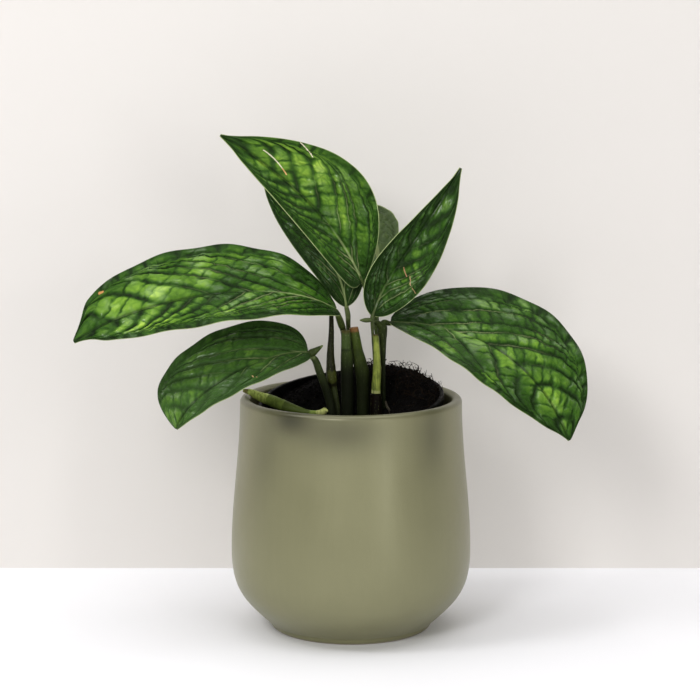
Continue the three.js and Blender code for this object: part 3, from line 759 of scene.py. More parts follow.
# Skins: the material's name, its green and dark tones, how streaked it is, from which height to which and
# how much painted shade darkens it towards the mix, where the leaves and other stems shade it, and bands of
# another colour, each from one share of the length to another, with how much it shows.
STEM_SKINS = {
    "stalk_top": ("top_green", "4a5a2b", "2a3616", 0.45, (200, 150, 0.85)),
    "stalk_behind_top": ("behind_green", "3e4822", "2a3315", 0.45, (190, 150, 0.9),
                         (0.84, 0.93, "55603a", 0.8), (0.93, 1.1, "7e8c58", 0.8)),
    "stalk_far_side": ("far_green", "4a5a2b", "2a3616", 0.45, (200, 150, 0.85)),
    "stalk_upright": ("upright_green", "545f3c", "37421f", 0.3, (185, 150, 0.9)),
    "stalk_long": ("long_green", "3f4b20", "232c0f", 0.45, (184, 150, 0.9),
                   (0.90, 1.1, "5d6c36", 0.8)),
    "stalk_low": ("low_green", "404c26", "262f12", 0.45, (172, 146, 0.88),
                  (0.84, 1.1, "717f50", 0.8)),
    "stalk_large": ("large_green", "333e1a", "1c240c", 0.45, (186, 150, 0.75)),
    "stem_with_node": ("node_olive", "23240d", "141506", 0.4, (146, 128, 0.7),
                       (0.415, 0.50, "3e4418", 0.9), (0.385, 0.41, "12130a", 0.9),
                       (0.1, 0.375, "30381c", 0.8)),
    "cut_stem_left": ("cut_green", "36441c", "243010", 0.4, (174, 154, 0.93),
                      (0.83, 0.975, "3d4d24", 0.9), (0.815, 0.83, "141a0a", 0.8),
                      (0.98, 1.1, "5a4a2b", 0.5)),
    "cut_stem_right": ("cut_orange", "45541f", "2d3a14", 0.35, (186, 146, 0.88),
                       (0.962, 1.1, "7c5333", 0.9)),
    "cut_sheath": ("sheath_yellow", "909b46", "36441a", 0.75, (0, 0, 0),
                   (0.0, 0.05, "a9ad72", 0.8), (0.975, 1.1, "3a2c19", 0.9)),
    "old_stem_foot": ("old_brown", "0f0905", "070503", 0.6, (0, 0, 0)),
    "thin_root": ("dry_root", "3f3a30", "27221b", 0.5, (136, 124, 0.85)),
    # The fallen stalk's dark band, from 0.50 to 0.80 of its length, is painted shadow of the low leaf.
    "fallen_stalk": ("fallen_green", "788a3e", "4c5c26", 0.5, (0, 0, 0),
                     (0.0, 0.06, "6d5638", 0.7), (0.06, 0.30, "c6d672", 0.85),
                     (0.50, 0.80, "3f4a20", 0.8), (0.88, 1.1, "c2c67a", 0.85)),
}
BAND_EDGE = 0.012


def stem_tree():
    """Sweeps a faintly ridged round section along a route."""
    inputs = {"Sides": "Int", "Step": "Float", "Ridge Depth": "Float", "Lump Depth": "Float",
              "Seed": "Float", "Material": "Material"}
    build = Builder("stem_sweep", inputs)
    smooth = build.add("GeometryNodeCurveSplineType", {"spline_type": "CATMULL_ROM"},
                       Curve=build.start).outputs[0]
    route = build.add("GeometryNodeResampleCurve", {"mode": "LENGTH"}, Curve=smooth,
                      Length=build.given("Step") * MM).outputs[0]
    route = build.keep(route, "along", build.field("GeometryNodeSplineParameter"))
    section = build.add("GeometryNodeCurvePrimitiveCircle", Resolution=build.given("Sides"),
                        Radius=1.0).outputs[0]
    section = build.keep(section, "around", build.position())
    mesh = build.add("GeometryNodeCurveToMesh", Curve=route, Profile_Curve=section,
                     Scale=build.field("GeometryNodeInputRadius"), Fill_Caps=True).outputs[0]
    x, y, _ = build.kept("around", "FLOAT_VECTOR").parts()
    ridges = (y.step("ARCTAN2", x) * 7).step("COSINE") * build.given("Ridge Depth")
    seed = vector_of(build.given("Seed"), 0.0, 0.0)
    lumps = (noise(build.place() + seed, 0.3, 3.0) - 0.5) * build.given("Lump Depth")
    mesh = build.moved(mesh, build.normal() * ((ridges + lumps) * MM))
    mesh = build.add("GeometryNodeSetShadeSmooth", Geometry=mesh).outputs[0]
    build.close(build.coated(build.realized(mesh), build.given("Material")))
    return build


def stem_material(name, green, dark, streaks, painted_shade, *bands):
    """Green stem skin with dark streaks, rougher towards the mix and darkened there by painted shade."""
    material, tree, shader, place = new_material(name)
    blotch = noise(place, 0.16, 3.0, 0.6)
    streak = noise(place * (1, 1, 0.1), 0.9, 3.0, 0.6).rise(0.45, 0.65)
    fleck = noise(place * (1, 1, 0.5), 1.6, 1.0).rise(0.64, 0.72)
    colour = mix_colours(tree, srgb(green), srgb(dark), blotch.rise(0.35, 0.7) * 0.6)
    ragged = attribute(tree, "along") + (noise(place, 0.5, 2.0) - 0.5) * 0.05
    for start, end, tint, share in bands:
        band = ragged.rise(start - BAND_EDGE, start + BAND_EDGE)
        band = band * ragged.rise(end + BAND_EDGE, end - BAND_EDGE)
        colour = colour.tinted(srgb(tint), band * share)
    colour = colour.tinted(srgb(dark), streak * streaks)
    colour = colour.tinted(srgb("9aa770"), fleck * 0.2)
    # Painted shade: the skin darkens towards the mix, where the leaves and the other stems shade it.
    low = place.parts()[2].rise(painted_shade[0], painted_shade[1]) * painted_shade[2]
    colour = colour.tinted(srgb("090b04"), low)
    dress(shader, Base_Color=colour, Roughness=low * 0.3 + streak * 0.08 + 0.42,
          Specular_IOR_Level=0.1)
    relief = streak * 0.5 + noise(place * (1, 1, 0.3), 1.8, 2.0) * 0.5
    bump(shader, relief, 0.18)
    return material


def route_object(name, route):
    """An open curve through points of x, y, z and radius in millimetres."""
    data = bpy.data.curves.new(name, "CURVE")
    data.dimensions = "3D"
    spline = data.splines.new("POLY")
    spline.points.add(len(route) - 1)
    for point, (x, y, z, radius) in zip(spline.points, route):
        point.co = (x * MM, y * MM, z * MM, 1)
        point.radius = radius * MM
    curve = bpy.data.objects.new(name, data)
    scene.collection.objects.link(curve)
    return curve


def joined(name, parts):
    """Several meshes as one piece."""
    for part in parts[1:]:
        for material in part.data.materials:
            if material.name not in parts[0].data.materials:
                parts[0].data.materials.append(material)
    with bpy.context.temp_override(active_object=parts[0], object=parts[0],
                                   selected_objects=parts, selected_editable_objects=parts):
        bpy.ops.object.join()
    parts[0].name = name
    return parts[0]


def into_blade(name):
    """The last stretch of a leaf stalk, which runs on under the base of its blade."""
    base, handle, facing, drop = LEAF_BASES[name]
    ahead = (Vector(handle) - Vector(base)).normalized()
    up = Vector(facing)
    up = (up - ahead * up.dot(ahead)).normalized()
    first = Vector(base) - up * (drop + STALK_DEPTHS[0])
    second = Vector(base) + ahead * STALK_REACH - up * STALK_DEPTHS[1]
    return [(*first, STALK_END_RADII[0]), (*second, STALK_END_RADII[1])]


stem_builder = stem_tree()
for number, (name, route) in enumerate(STEM_ROUTES.items()):
    skin = stem_material(*STEM_SKINS[name])
    parts = [route + into_blade(name) if name in LEAF_BASES else route]
    if name in STALK_EARS:
        parts.append(STALK_EARS[name])
    sweeps = []
    for part in parts:
        curve = route_object("route", part)
        sweeps.append(grown(name + "_skin", curve, stem_builder, {
            "Sides": STEM_SIDES, "Step": STEM_STEP, "Ridge Depth": STEM_RIDGES,
            "Lump Depth": STEM_LUMPS, "Seed": STEM_SEED_STEP * number, "Material": skin}))
        bpy.data.objects.remove(curve)
    stem = joined(name + "_skin", sweeps)
    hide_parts(name)
    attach(stem, "root")


# Leaves
# Thin, firm blades with a network of sunken veins and raised, paler cells between them on
# the glossy upper side, and the same veins standing proud on the dull, paler underside.
# The shape, as in the solid model: spine, facing, left, right, fold, cup and ripple. A
# least-squares fit to outlines traced over the photograph made these numbers, but for ripple.
# sweep, spacing, cell: how far the side veins bend forward, how far apart they leave the
# midrib, and how long the cells between them are, for the left and the right half.
# glow, veil, rims: how bright the cells are, how dull the whole is, and how pale each margin
# is. midrib: how pale its rib is, and up to which share of the length. point, tip: how far
# the width is drawn in at the tip, and how far the tip bends away.
# patches: brighter places, each with its middle, its reach along and across, and its gain.
# scars: scratches, each from one place to another, with its width and colour.
PLAIN_LEAF = {"point": 1.0, "tip": (0, 0, 0), "patches": [], "scars": []}
LEAVES = {
    "leaf_top": {
        "spine": [(7, 5, 210), (-8, 15, 244), (-30, 23, 266), (-77, 16, 298)],
        "facing": [(-0.45, -0.65, 0.6), (-0.2, -0.85, 0.45)],
        "left": (17, 0.55, 0.7, 7), "right": (38, 0.7, 1.05, -1),
        "fold": (22, 3), "cup": 14, "ripple": 0.5,
        "sweep": (0.8, 1.7), "spacing": (13, 19), "cell": (9, 9),
        "glow": 0.57, "veil": 0.15, "rims": (0.8, 0.25), "midrib": (0.45, 0.3),
        "point": 0.8, "tip": (-2, 0, 0),
        "patches": [(0.62, 0.32, 0.16, 0.30, 0.30), (0.77, 0.32, 0.05, 0.12, 0.5)],
        "scars": [((0.84, 0.40), (0.73, 0.18), 0.42, "e4dcc0"),
                  ((0.73, 0.18), (0.70, 0.12), 0.5, "d2a26c"),
                  ((0.74, 0.98), (0.69, 0.82), 0.38, "e6dcc0"),
                  ((0.69, 0.82), (0.66, 0.74), 0.3, "e6dcc0")],
    },
    "leaf_behind_top": {
        "spine": [(-3, 14, 194), (-6, 26, 227), (-38, 47, 246), (-53, 50, 275)],
        "facing": [(-0.2, -0.9, 0.45), (-0.3, -0.85, 0.4)],
        "left": (15, 0.6, 0.75, 1), "right": (24, 0.6, 0.8, 1),
        "fold": (14, 8), "cup": 10, "ripple": 0.4,
        "sweep": (1, 1), "spacing": (14, 14), "cell": (6, 6),
        "glow": 0.25, "veil": 0.1, "rims": (0.25, 0.2), "midrib": (0.4, 0.3),
    },
    "leaf_far_side": {
        "spine": [(6, 48, 250), (9, 61, 240), (15, 84, 232), (22, 92, 196)],
        "facing": [(0.2, 0.45, 0.85), (0.2, 0.95, 0.2)],
        "left": (22, 0.5, 0.9, 6), "right": (19, 0.5, 0.9, 6),
        "fold": (9, 5), "cup": 5, "ripple": 0.4,
        "sweep": (1, 1), "spacing": (16, 16), "cell": (8, 8),
        "glow": 0.4, "veil": 0.2, "rims": (0.1, 0.1), "midrib": (0.3, 0.5),
    },
    "leaf_upright": {
        "spine": [(13, -10, 192), (20, -4, 216), (38, -5, 232), (65, -2, 279)],
        "facing": [(0.05, -0.95, 0.25), (0.3, -0.95, 0.1)],
        "left": (16, 0.55, 0.95, -1), "right": (22, 0.65, 0.85, 2),
        "fold": (14, 11), "cup": 19, "ripple": 0.4,
        "sweep": (1, 1.2), "spacing": (13, 15), "cell": (7, 7.5),
        "glow": 0.32, "veil": 0.12, "rims": (0.25, 0.3), "midrib": (0.15, 0.3),
        "point": 0.8, "tip": (0.5, 0, 1),
        "patches": [(0.55, 0.3, 0.25, 0.3, 0.2)],
        "scars": [((0.44, 0.16), (0.40, 0.36), 0.42, "b98a68"),
                  ((0.415, 0.45), (0.36, 0.62), 0.38, "c39a78"),
                  ((0.35, 0.70), (0.33, 0.92), 0.3, "a98a60")],
    },
    "leaf_long": {
        "spine": [(-8, -5, 195), (-40, -27, 221), (-122, -32, 207), (-160, -43, 183)],
        "facing": [(-0.1, -0.45, 0.9), (-0.15, -0.75, 0.6)],
        "left": (27, 0.55, 0.7, 3), "right": (38, 0.5, 0.6, -1),
        "fold": (6, 4), "cup": 0, "ripple": 0.9,
        "sweep": (0.8, 1.7), "spacing": (15, 24), "cell": (8, 12),
        "glow": 0.43, "veil": 0.0, "rims": (0.25, 0.1), "midrib": (0.5, 0.3),
        "point": 0.45, "tip": (-2.4, 0, -2.4),
        "patches": [(0.72, 0.38, 0.12, 0.3, 0.5), (0.72, -0.5, 0.14, 0.3, 0.5)],
        "scars": [((0.846, 0.865), (0.836, 0.835), 1.1, "c08a54")],
    },
    "leaf_low": {
        "spine": [(-25, -14, 171), (-50, -30, 177), (-99, -60, 152), (-102, -53, 131)],
        "facing": [(-0.1, -0.7, 0.7), (-0.5, -0.55, 0.65)],
        "left": (17, 0.6, 0.8, 2), "right": (35, 0.45, 0.4, 2),
        "fold": (6, 1), "cup": 1, "ripple": 0.5,
        "sweep": (0.6, 2.1), "spacing": (24, 19), "cell": (10, 8),
        "glow": 0.36, "veil": 0.4, "rims": (0.3, 0.1), "midrib": (0.2, 0.3),
        "point": 0.9,
        "patches": [(0.8, 0.3, 0.15, 0.4, 0.2)],
        "scars": [((0.412, -0.58), (0.411, -0.60), 0.5, "c9a878"),
                  ((0.405, -0.70), (0.402, -0.74), 0.5, "c9a878")],
    },
    "leaf_large": {
        "spine": [(23, 1, 187), (84, -11, 189), (115, -41, 160), (128, -42, 123)],
        "facing": [(0.3, -0.45, 0.85), (0.3, -0.75, 0.6)],
        "left": (47, 0.65, 0.8, 0), "right": (34, 0.65, 0.95, 0),
        "fold": (14, -4), "cup": 0, "ripple": 0.6,
        "sweep": (2.0, 0.8), "spacing": (22, 25), "cell": (8, 12),
        "glow": 0.34, "veil": 0.05, "rims": (0.15, 0.2), "midrib": (0.15, 0.25),
        "point": 0.8, "tip": (0.5, 0, -1),
        "patches": [(0.5, 0.2, 0.22, 0.35, 0.3), (0.75, -0.1, 0.18, 0.35, 0.2)],
    },
}
LOBE_PLACE = 0.08
RIPPLES = 5
BLADE_THICKNESS = 0.5
BLADE_ENDS = (0.004, 0.997)
MIDRIB_DEPTH = 1.5
MIDRIB_WIDTH = 1.6
VEIN_SLOPE = 0.36
VEIN_EDGE = 0.86
BASAL_SPREAD = 0.35
QUILT_HEIGHT = 1.3
GROOVE_DEPTH = 0.6
BLADE_COLUMNS = 97
SEAM = 1e-6
LEAF_SEED = 3.0
LEAF_SEED_STEP = 5.3
MIDRIB_STEPS = 50
BLADE_ROWS_PER_MM = 1.15
LEAF_COAT_ROUGHNESS = 0.24
LEAF_SPECULAR = 0.07
LEAF_TONES = (srgb("0b1a05"), srgb("2f5216"), srgb("62892b"), srgb("a0c247"))
LEAF_VEIL = srgb("446231")
LEAF_MARGIN = srgb("a9b77c")
LEAF_UNDER = srgb("647c42")
LEAF_UNDER_VEIN = srgb("4a6130")


def cells_along(place, kind):
    """A line cut into cells of uneven length: the distance to the nearest cut, as a share
    of the mean length, or a colour that differs by cell."""
    node = place.tree.nodes.new("ShaderNodeTexVoronoi")
    node.voronoi_dimensions = "1D"
    node.feature = kind
    feed(node.inputs["W"], place)
    feed(node.inputs["Scale"], 1.0)
    feed(node.inputs["Randomness"], 0.75)
    return Field(node.outputs["Distance" if kind == "DISTANCE_TO_EDGE" else "Color"])


def vein_habits(leaf):
    """The sweep, spacing and cell length of the veins, for the left and the right half."""
    return [(leaf["sweep"][half], leaf["spacing"][half], leaf["cell"][half]) for half in (0, 1)]


def of_half(build, title, across):
    """What the tree is given for the half of the blade that a place is in."""
    left = across.step("LESS_THAN", 0.0)
    return build.given("Right " + title).towards(build.given("Left " + title), left)


def ladder(along, across, half_width, length, habit, seed):
    """The veins of a blade. Side veins leave the midrib at a low angle and bend forward
    until they run beside the margin, and cross veins join them like the rungs of ladders.
    Returns the puffed height between them, the nearness of a side vein, a number that
    differs by cell, the fine net, and the distance to a side vein in millimetres."""
    sweep, spacing, cell_length = habit.parts()
    place = vector_of(along * length * 0.035, across * 1.1, seed)
    wander = noise(place, 1.0, 2.0) - 0.5
    tremble = noise(place, 4.3, 2.0) - 0.5
    left = across.step("LESS_THAN", 0.0)
    reach = (across.size() + tremble * 0.12 * across.size().rise(0.0, 0.3)).most(0.0)
    edge = wander * 0.14 + VEIN_EDGE
    inner = (reach / edge).least(0.97)
    bend = (1 - inner).step("LOGARITHM", math.e) * -1
    rest = (1 - along).most(0.0)
    slope = rest ** 1.5 * VEIN_SLOPE * sweep + 0.05
    start = along - bend * slope + wander * 0.10
    basal = start.step("LESS_THAN", 0.0) * (BASAL_SPREAD - 1) + 1
    row = start * basal * length / spacing + left * 7.5 + seed
    grow_along = bend * rest ** 0.5 * sweep * (1.5 * VEIN_SLOPE) + 1
    grow_across = slope * length / ((edge - reach).most(0.06) * half_width)
    grow_across = (grow_across * inner.step("LESS_THAN", 0.969)).least(4.0)
    crowding = (grow_along * grow_along + grow_across * grow_across).step("SQRT") * basal
    from_vein = cells_along(row, "DISTANCE_TO_EDGE") * spacing / crowding
    from_vein = from_vein.least((reach - edge).size() * half_width + 0.9)
    band = cells_along(row, "F1").parts()[0]
    column = (along * length + reach * half_width + tremble * 5.0) / cell_length
    rung_place = column + band * 173.1
    from_rung = cells_along(rung_place, "DISTANCE_TO_EDGE") * cell_length
    tone = cells_along(rung_place, "F1").parts()[0]
    mesh = along.tree.nodes.new("ShaderNodeTexVoronoi")
    mesh.voronoi_dimensions = "2D"
    mesh.feature = "DISTANCE_TO_EDGE"
    feed(mesh.inputs["Vector"], vector_of(row * 2.3 + tremble, column * 1.6, 0.0))
    feed(mesh.inputs["Scale"], 1.0)
    net = Field(mesh.outputs["Distance"]).rise(0.0, 0.3)
    vein_depth = noise(place, 1.9, 2.0).rise(0.3, 0.6, 0.5, 1.0)
    rung_depth = noise(place + (5.0, 5.0, 5.0), 2.6, 2.0).rise(0.35, 0.65, 0.15, 0.75)
    narrow = (crowding ** -1 * 6.5).least(3.8).most(1.0)
    uneven = noise(place, 3.1, 2.0) * 0.9 + 0.55
    swell = 1 - from_vein.rise(0.1, narrow * uneven, 1.0, 0.0) * vein_depth
    cell = 1 - from_rung.rise(0.0, 2.4, 1.0, 0.0) * rung_depth
    pillow = swell * cell * (net * 0.2 + 0.8)
    furrow = from_vein.rise(0.05, narrow * uneven * 0.33, 1.0, 0.0) * vein_depth
    return pillow, furrow, tone, net, from_vein


def blade_tree():
    """Bends a grid into a leaf blade: a midrib on a cubic curve, and two halves that widen
    and narrow by their own rules, fold up, ripple and puff up between their veins."""
    inputs = {"Columns": "Int", "Rows": "Int"}
    inputs.update({f"Spine {i}": "Vector" for i in range(1, 5)})
    vectors = ("Facing Base", "Facing Tip", "Left Half", "Right Half", "Left Veins", "Right Veins",
               "Tip Reach")
    numbers = ("Left Lobe", "Right Lobe", "Fold Base", "Fold Tip", "Cup", "Ripple", "Length", "Seed",
               "Point", "Quilt Height", "Thickness")
    inputs.update(dict.fromkeys(vectors, "Vector"))
    inputs.update(dict.fromkeys(numbers, "Float"))
    inputs.update({"Upper Side": "Material", "Underside": "Material"})
    build = Builder("leaf_blade", inputs)
    tree = build.tree
    grid = build.add("GeometryNodeMeshGrid", Size_X=2.0, Size_Y=1.0,
                     Vertices_X=build.given("Columns"), Vertices_Y=build.given("Rows")).outputs[0]
    across, row, _ = build.position().parts()
    share = row + 0.5
    eased = ((share * math.pi).step("COSINE") * -0.5 + 0.5).towards(share, 0.35)
    along = eased * (BLADE_ENDS[1] - BLADE_ENDS[0]) + BLADE_ENDS[0]
    rest = 1 - along
    spine = [build.given(f"Spine {i}") for i in range(1, 5)]
    point = (spine[0] * rest ** 3 + spine[1] * (rest * rest * along * 3)
             + spine[2] * (rest * along * along * 3) + spine[3] * along ** 3)
    ahead = ((spine[1] - spine[0]) * (rest * rest) + (spine[2] - spine[1]) * (rest * along * 2)
             + (spine[3] - spine[2]) * (along * along)).step("NORMALIZE")
    facing = build.given("Facing Base").towards(build.given("Facing Tip"), along)
    up = (facing - ahead * facing.step("DOT_PRODUCT", ahead)).step("NORMALIZE")
    sideways = ahead.step("CROSS_PRODUCT", up)
    reach = across.size()
    widest, rounded, taper = of_half(build, "Half", across).parts()
    lobe_size = of_half(build, "Lobe", across)
    peak = rounded / (rounded + taper)
    outline = (along ** rounded) * (rest ** taper) / ((peak ** rounded) * ((1 - peak) ** taper))
    half_width = widest * outline * rest.rise(0.0, 0.11, build.given("Point"), 1.0)
    fold = build.given("Fold Base").towards(build.given("Fold Tip"), along) + build.given("Cup") * reach
    fold = fold * (math.pi / 180)
    lobe = lobe_size * (along / LOBE_PLACE) * (along * (-1 / LOBE_PLACE) + 1).step("EXPONENT")
    lobe = lobe * reach * reach
    ripple = (build.given("Ripple") * (along * (2 * math.pi * RIPPLES) + across).step("SINE")
              * reach ** 4 * along * rest * 4)
    flat = half_width * reach
    point = point + sideways * (flat * fold.step("COSINE") * across.step("SIGN"))
    point = point + up * (flat * fold.step("SINE") + ripple) - ahead * lobe
    point = point + build.given("Tip Reach") * along.rise(0.93, 1.02)
    mesh = build.keep(grid, "blade", vector_of(along, across, half_width))
    mesh = build.add("GeometryNodeSetPosition", Geometry=mesh, Position=point * MM).outputs[0]

    along, across, half_width = build.kept("blade", "FLOAT_VECTOR").parts()
    reach = across.size()
    habit = of_half(build, "Veins", across)
    pillow, furrow, *_ = ladder(
        along, across, half_width, build.given("Length"), habit, build.given("Seed"))
    from_margin = (1 - reach) * half_width
    from_midrib = reach * half_width
    fade = from_margin.rise(0.3, 4.0) * from_midrib.rise(0.5, 3.0)
    fade = fade * along.rise(0.0, 0.1) * along.rise(1.0, 0.93)
    groove = from_midrib.rise(0.0, 1.8, 1.0, 0.0) * GROOVE_DEPTH
    quilt = (pillow - 0.5 - furrow * 0.25) * build.given("Quilt Height") * fade - groove
    mesh = build.moved(mesh, build.normal() * (quilt * MM))
    mesh = build.add("GeometryNodeSetShadeSmooth", Geometry=mesh).outputs[0]
    upper = build.coated(mesh, build.given("Upper Side"))
    thinning = (1 - along * 0.8) * along.rise(1.0, 0.95)
    rib = from_midrib.rise(0.0, MIDRIB_WIDTH, 1.0, 0.0) * thinning * MIDRIB_DEPTH
    raised = furrow * fade * 0.25
    depth = (build.given("Thickness") + rib + raised) * from_margin.rise(0.0, 0.6, 0.6, 1.0)
    under = build.add("GeometryNodeExtrudeMesh", Mesh=mesh, Offset=build.normal() * (depth * -MM),
                      Offset_Scale=1.0, Individual=False).outputs[0]
    under = build.add("GeometryNodeFlipFaces", Mesh=under).outputs[0]
    under = build.coated(under, build.given("Underside"))
    whole = tree.nodes.new("GeometryNodeJoinGeometry")
    tree.links.new(under, whole.inputs[0])
    tree.links.new(upper, whole.inputs[0])
    closed = build.add("GeometryNodeMergeByDistance", Geometry=whole.outputs[0],
                       Distance=SEAM).outputs[0]
    build.close(build.realized(closed))
    return build


def shader_group(name, inputs, outputs):
    """A shader group with named sockets: its tree, what it is given, and its ends."""
    group = bpy.data.node_groups.new(name, "ShaderNodeTree")
    for label, kind in inputs.items():
        group.interface.new_socket(label, in_out="INPUT", socket_type="NodeSocket" + kind)
    for label in outputs:
        group.interface.new_socket(label, in_out="OUTPUT", socket_type="NodeSocketFloat")
    start = group.nodes.new("NodeGroupInput")
    given = {socket.name: Field(socket) for socket in start.outputs}
    return group, given, group.nodes.new("NodeGroupOutput").inputs


def vein_group():
    """The blade's veins as a shader group, so that the colour falls on the relief."""
    group, given, ends = shader_group(
        "leaf_veins",
        {"Blade": "Vector", "Length": "Float", "Left Veins": "Vector", "Right Veins": "Vector",
         "Seed": "Float"},
        ("Pillow", "Furrow", "Tone", "Net", "From Vein", "From Margin", "From Midrib"))
    along, across, half_width = given["Blade"].parts()
    habit = given["Right Veins"].towards(given["Left Veins"], across.step("LESS_THAN", 0.0))
    values = ladder(along, across, half_width, given["Length"], habit, given["Seed"])
    reach = across.size()
    for socket, value in zip(ends, (*values, (1 - reach) * half_width, reach * half_width)):
        feed(socket, value)
    return group


def scar_group():
    """How near a place on a blade is to a straight scratch between two others, from 0 to 1."""
    group, given, ends = shader_group(
        "leaf_scar",
        {"Blade": "Vector", "Start": "Vector", "End": "Vector", "Length": "Float", "Width": "Float"},
        ("Scar",))
    along, across, half_width = given["Blade"].parts()
    real = vector_of(given["Length"], half_width, 0.0)
    place = vector_of(along, across, 0.0) * real
    start = given["Start"] * real
    line = given["End"] * real - start
    share = (place - start).step("DOT_PRODUCT", line) / line.step("DOT_PRODUCT", line)
    jitter = (noise(place, 0.9, 2.0) - 0.5) * 0.9
    away = (place - start - line * share.most(0.0).least(1.0)).size() + jitter * 0.4
    feed(ends["Scar"], away.rise(given["Width"] * 0.5, given["Width"], 1.0, 0.0))
    return group


def group_node(tree, group, **values):
    """A group in a material, with its sockets fed by name."""
    node = tree.nodes.new("ShaderNodeGroup")
    node.node_tree = group
    for key, value in values.items():
        feed(node.inputs[key.replace("_", " ")], value)
    return {socket.name: Field(socket) for socket in node.outputs}


def blade_material(name, leaf, seed):
    """A material with the blade's own place, flat and in millimetres, and its veins."""
    material, tree, shader, _ = new_material(name)
    blade = attribute(tree, "blade", "Vector")
    left, right = vein_habits(leaf)
    vein = group_node(tree, leaf_veins, Blade=blade, Length=leaf["length"], Left_Veins=left,
                      Right_Veins=right, Seed=seed)
    along, across, half_width = blade.parts()
    flat = vector_of(along * leaf["length"], across * half_width, seed * 9.0)
    return material, tree, shader, blade, flat, vein


def upper_material(name, leaf, seed):
    material, tree, shader, blade, flat, vein = blade_material(name + "_upper", leaf, seed)
    along, across, _ = blade.parts()
    cloud = noise(flat, 0.045, 2.0)
    glow = cloud.rise(0.3, 0.75, -0.2, 0.2) + leaf["glow"]
    for centre, side, long_, wide, gain in leaf["patches"]:
        away = ((along - centre) / long_) ** 2 + ((across - side) / wide) ** 2
        glow = glow + (away * -1).step("EXPONENT") * gain
    glow = glow * vein["From Margin"].rise(0.0, 6.0, 0.45, 1.0) * along.rise(0.0, 0.3, 0.35, 1.0)
    streak = noise(flat, 0.7, 3.0, 0.6)
    light = vein["Pillow"] * (vein["Tone"] * 0.7 + 0.6) * glow + (streak - 0.5) * 0.16
    colour = mix_colours(tree, LEAF_TONES[0], LEAF_TONES[1], light.rise(-0.05, 0.25))
    colour = colour.tinted(LEAF_TONES[2], light.rise(0.15, 0.6))
    colour = colour.tinted(LEAF_TONES[3], light.rise(0.5, 1.05))
    colour = colour.tinted(LEAF_VEIL, leaf["veil"])
    # Painted highlight: pale lines along the side veins near the base, where the ridges beside them catch
    # the light.
    pale = vein["From Vein"].rise(0.1, 0.55, 1.0, 0.0) * along.rise(0.7, 0.2)
    pale = pale * cloud.rise(0.38, 0.58) * across.size().rise(0.8, 0.65)
    colour = colour.tinted(LEAF_MARGIN, pale * 0.4)
    pale_rib, pale_until = leaf["midrib"]
    crease = vein["From Midrib"].rise(0.4, 1.6, 1.0, 0.0) * along.rise(pale_until, pale_until + 0.15)
    colour = colour.tinted(LEAF_TONES[0], crease * 0.6)
    rib = vein["From Midrib"].rise(0.25, 0.8, 1.0, 0.0) * along.rise(pale_until + 0.1, pale_until - 0.15)
    colour = colour.tinted(LEAF_MARGIN, rib * pale_rib)
    is_left = across.step("LESS_THAN", 0.0)
    margin = vein["From Margin"].rise(0.12, 0.45, 1.0, 0.0) * along.rise(0.0, 0.4, 0.2, 1.0)
    margin = margin * (is_left * (leaf["rims"][0] - leaf["rims"][1]) + leaf["rims"][1])
    colour = colour.tinted(LEAF_MARGIN, margin)
    for start, end, width, tint in leaf["scars"]:
        scar = group_node(tree, leaf_scar, Blade=blade, Start=(*start, 0), End=(*end, 0),
                          Length=leaf["length"], Width=width)
        colour = colour.tinted(srgb(tint), scar["Scar"] * 0.9)
    wax = noise(flat, 0.5, 3.0)
    sheen = noise(flat, 0.09, 2.0).rise(0.48, 0.66) * vein["Pillow"].rise(0.3, 0.8)
    dress(shader, Base_Color=colour, Roughness=wax.rise(0.2, 0.8, 0.30, 0.44) + margin * 0.15,
          Specular_IOR_Level=LEAF_SPECULAR, Coat_Weight=sheen * 0.8, Coat_Roughness=LEAF_COAT_ROUGHNESS)
    relief = vein["Pillow"] * 0.35 + vein["Net"] * 0.35 + noise(flat, 1.6, 3.0) * 0.3
    bump(shader, relief, 0.35)
    return material


def under_material(name, leaf, seed):
    material, tree, shader, _, flat, vein = blade_material(name + "_under", leaf, seed)
    cloud = noise(flat, 0.08, 3.0)
    colour = mix_colours(tree, LEAF_UNDER, srgb("587039"), cloud.rise(0.3, 0.7))
    shade = vein["Pillow"].rise(0.1, 0.8, 0.75, 0.0)
    colour = colour.tinted(LEAF_UNDER_VEIN, shade)
    rib = vein["From Midrib"].rise(1.0, 1.9, 1.0, 0.0)
    colour = colour.tinted(srgb("93a064"), rib * 0.8)
    margin = vein["From Margin"].rise(0.12, 0.5, 1.0, 0.0)
    colour = colour.tinted(LEAF_MARGIN, margin * 0.85)
    dress(shader, Base_Color=colour, Roughness=cloud.rise(0.2, 0.8, 0.50, 0.62))
    relief = vein["Pillow"] * -0.6 + noise(flat, 1.2, 3.0) * 0.4 + 0.6
    bump(shader, relief, 0.3)
    return material


def midrib_length(spine):
    """The length of the curve that a leaf's spine gives, in whole millimetres."""
    curve = [Vector(bezier_point(spine, step / MIDRIB_STEPS)) for step in range(MIDRIB_STEPS + 1)]
    return round(sum((end - start).length for start, end in zip(curve, curve[1:])))


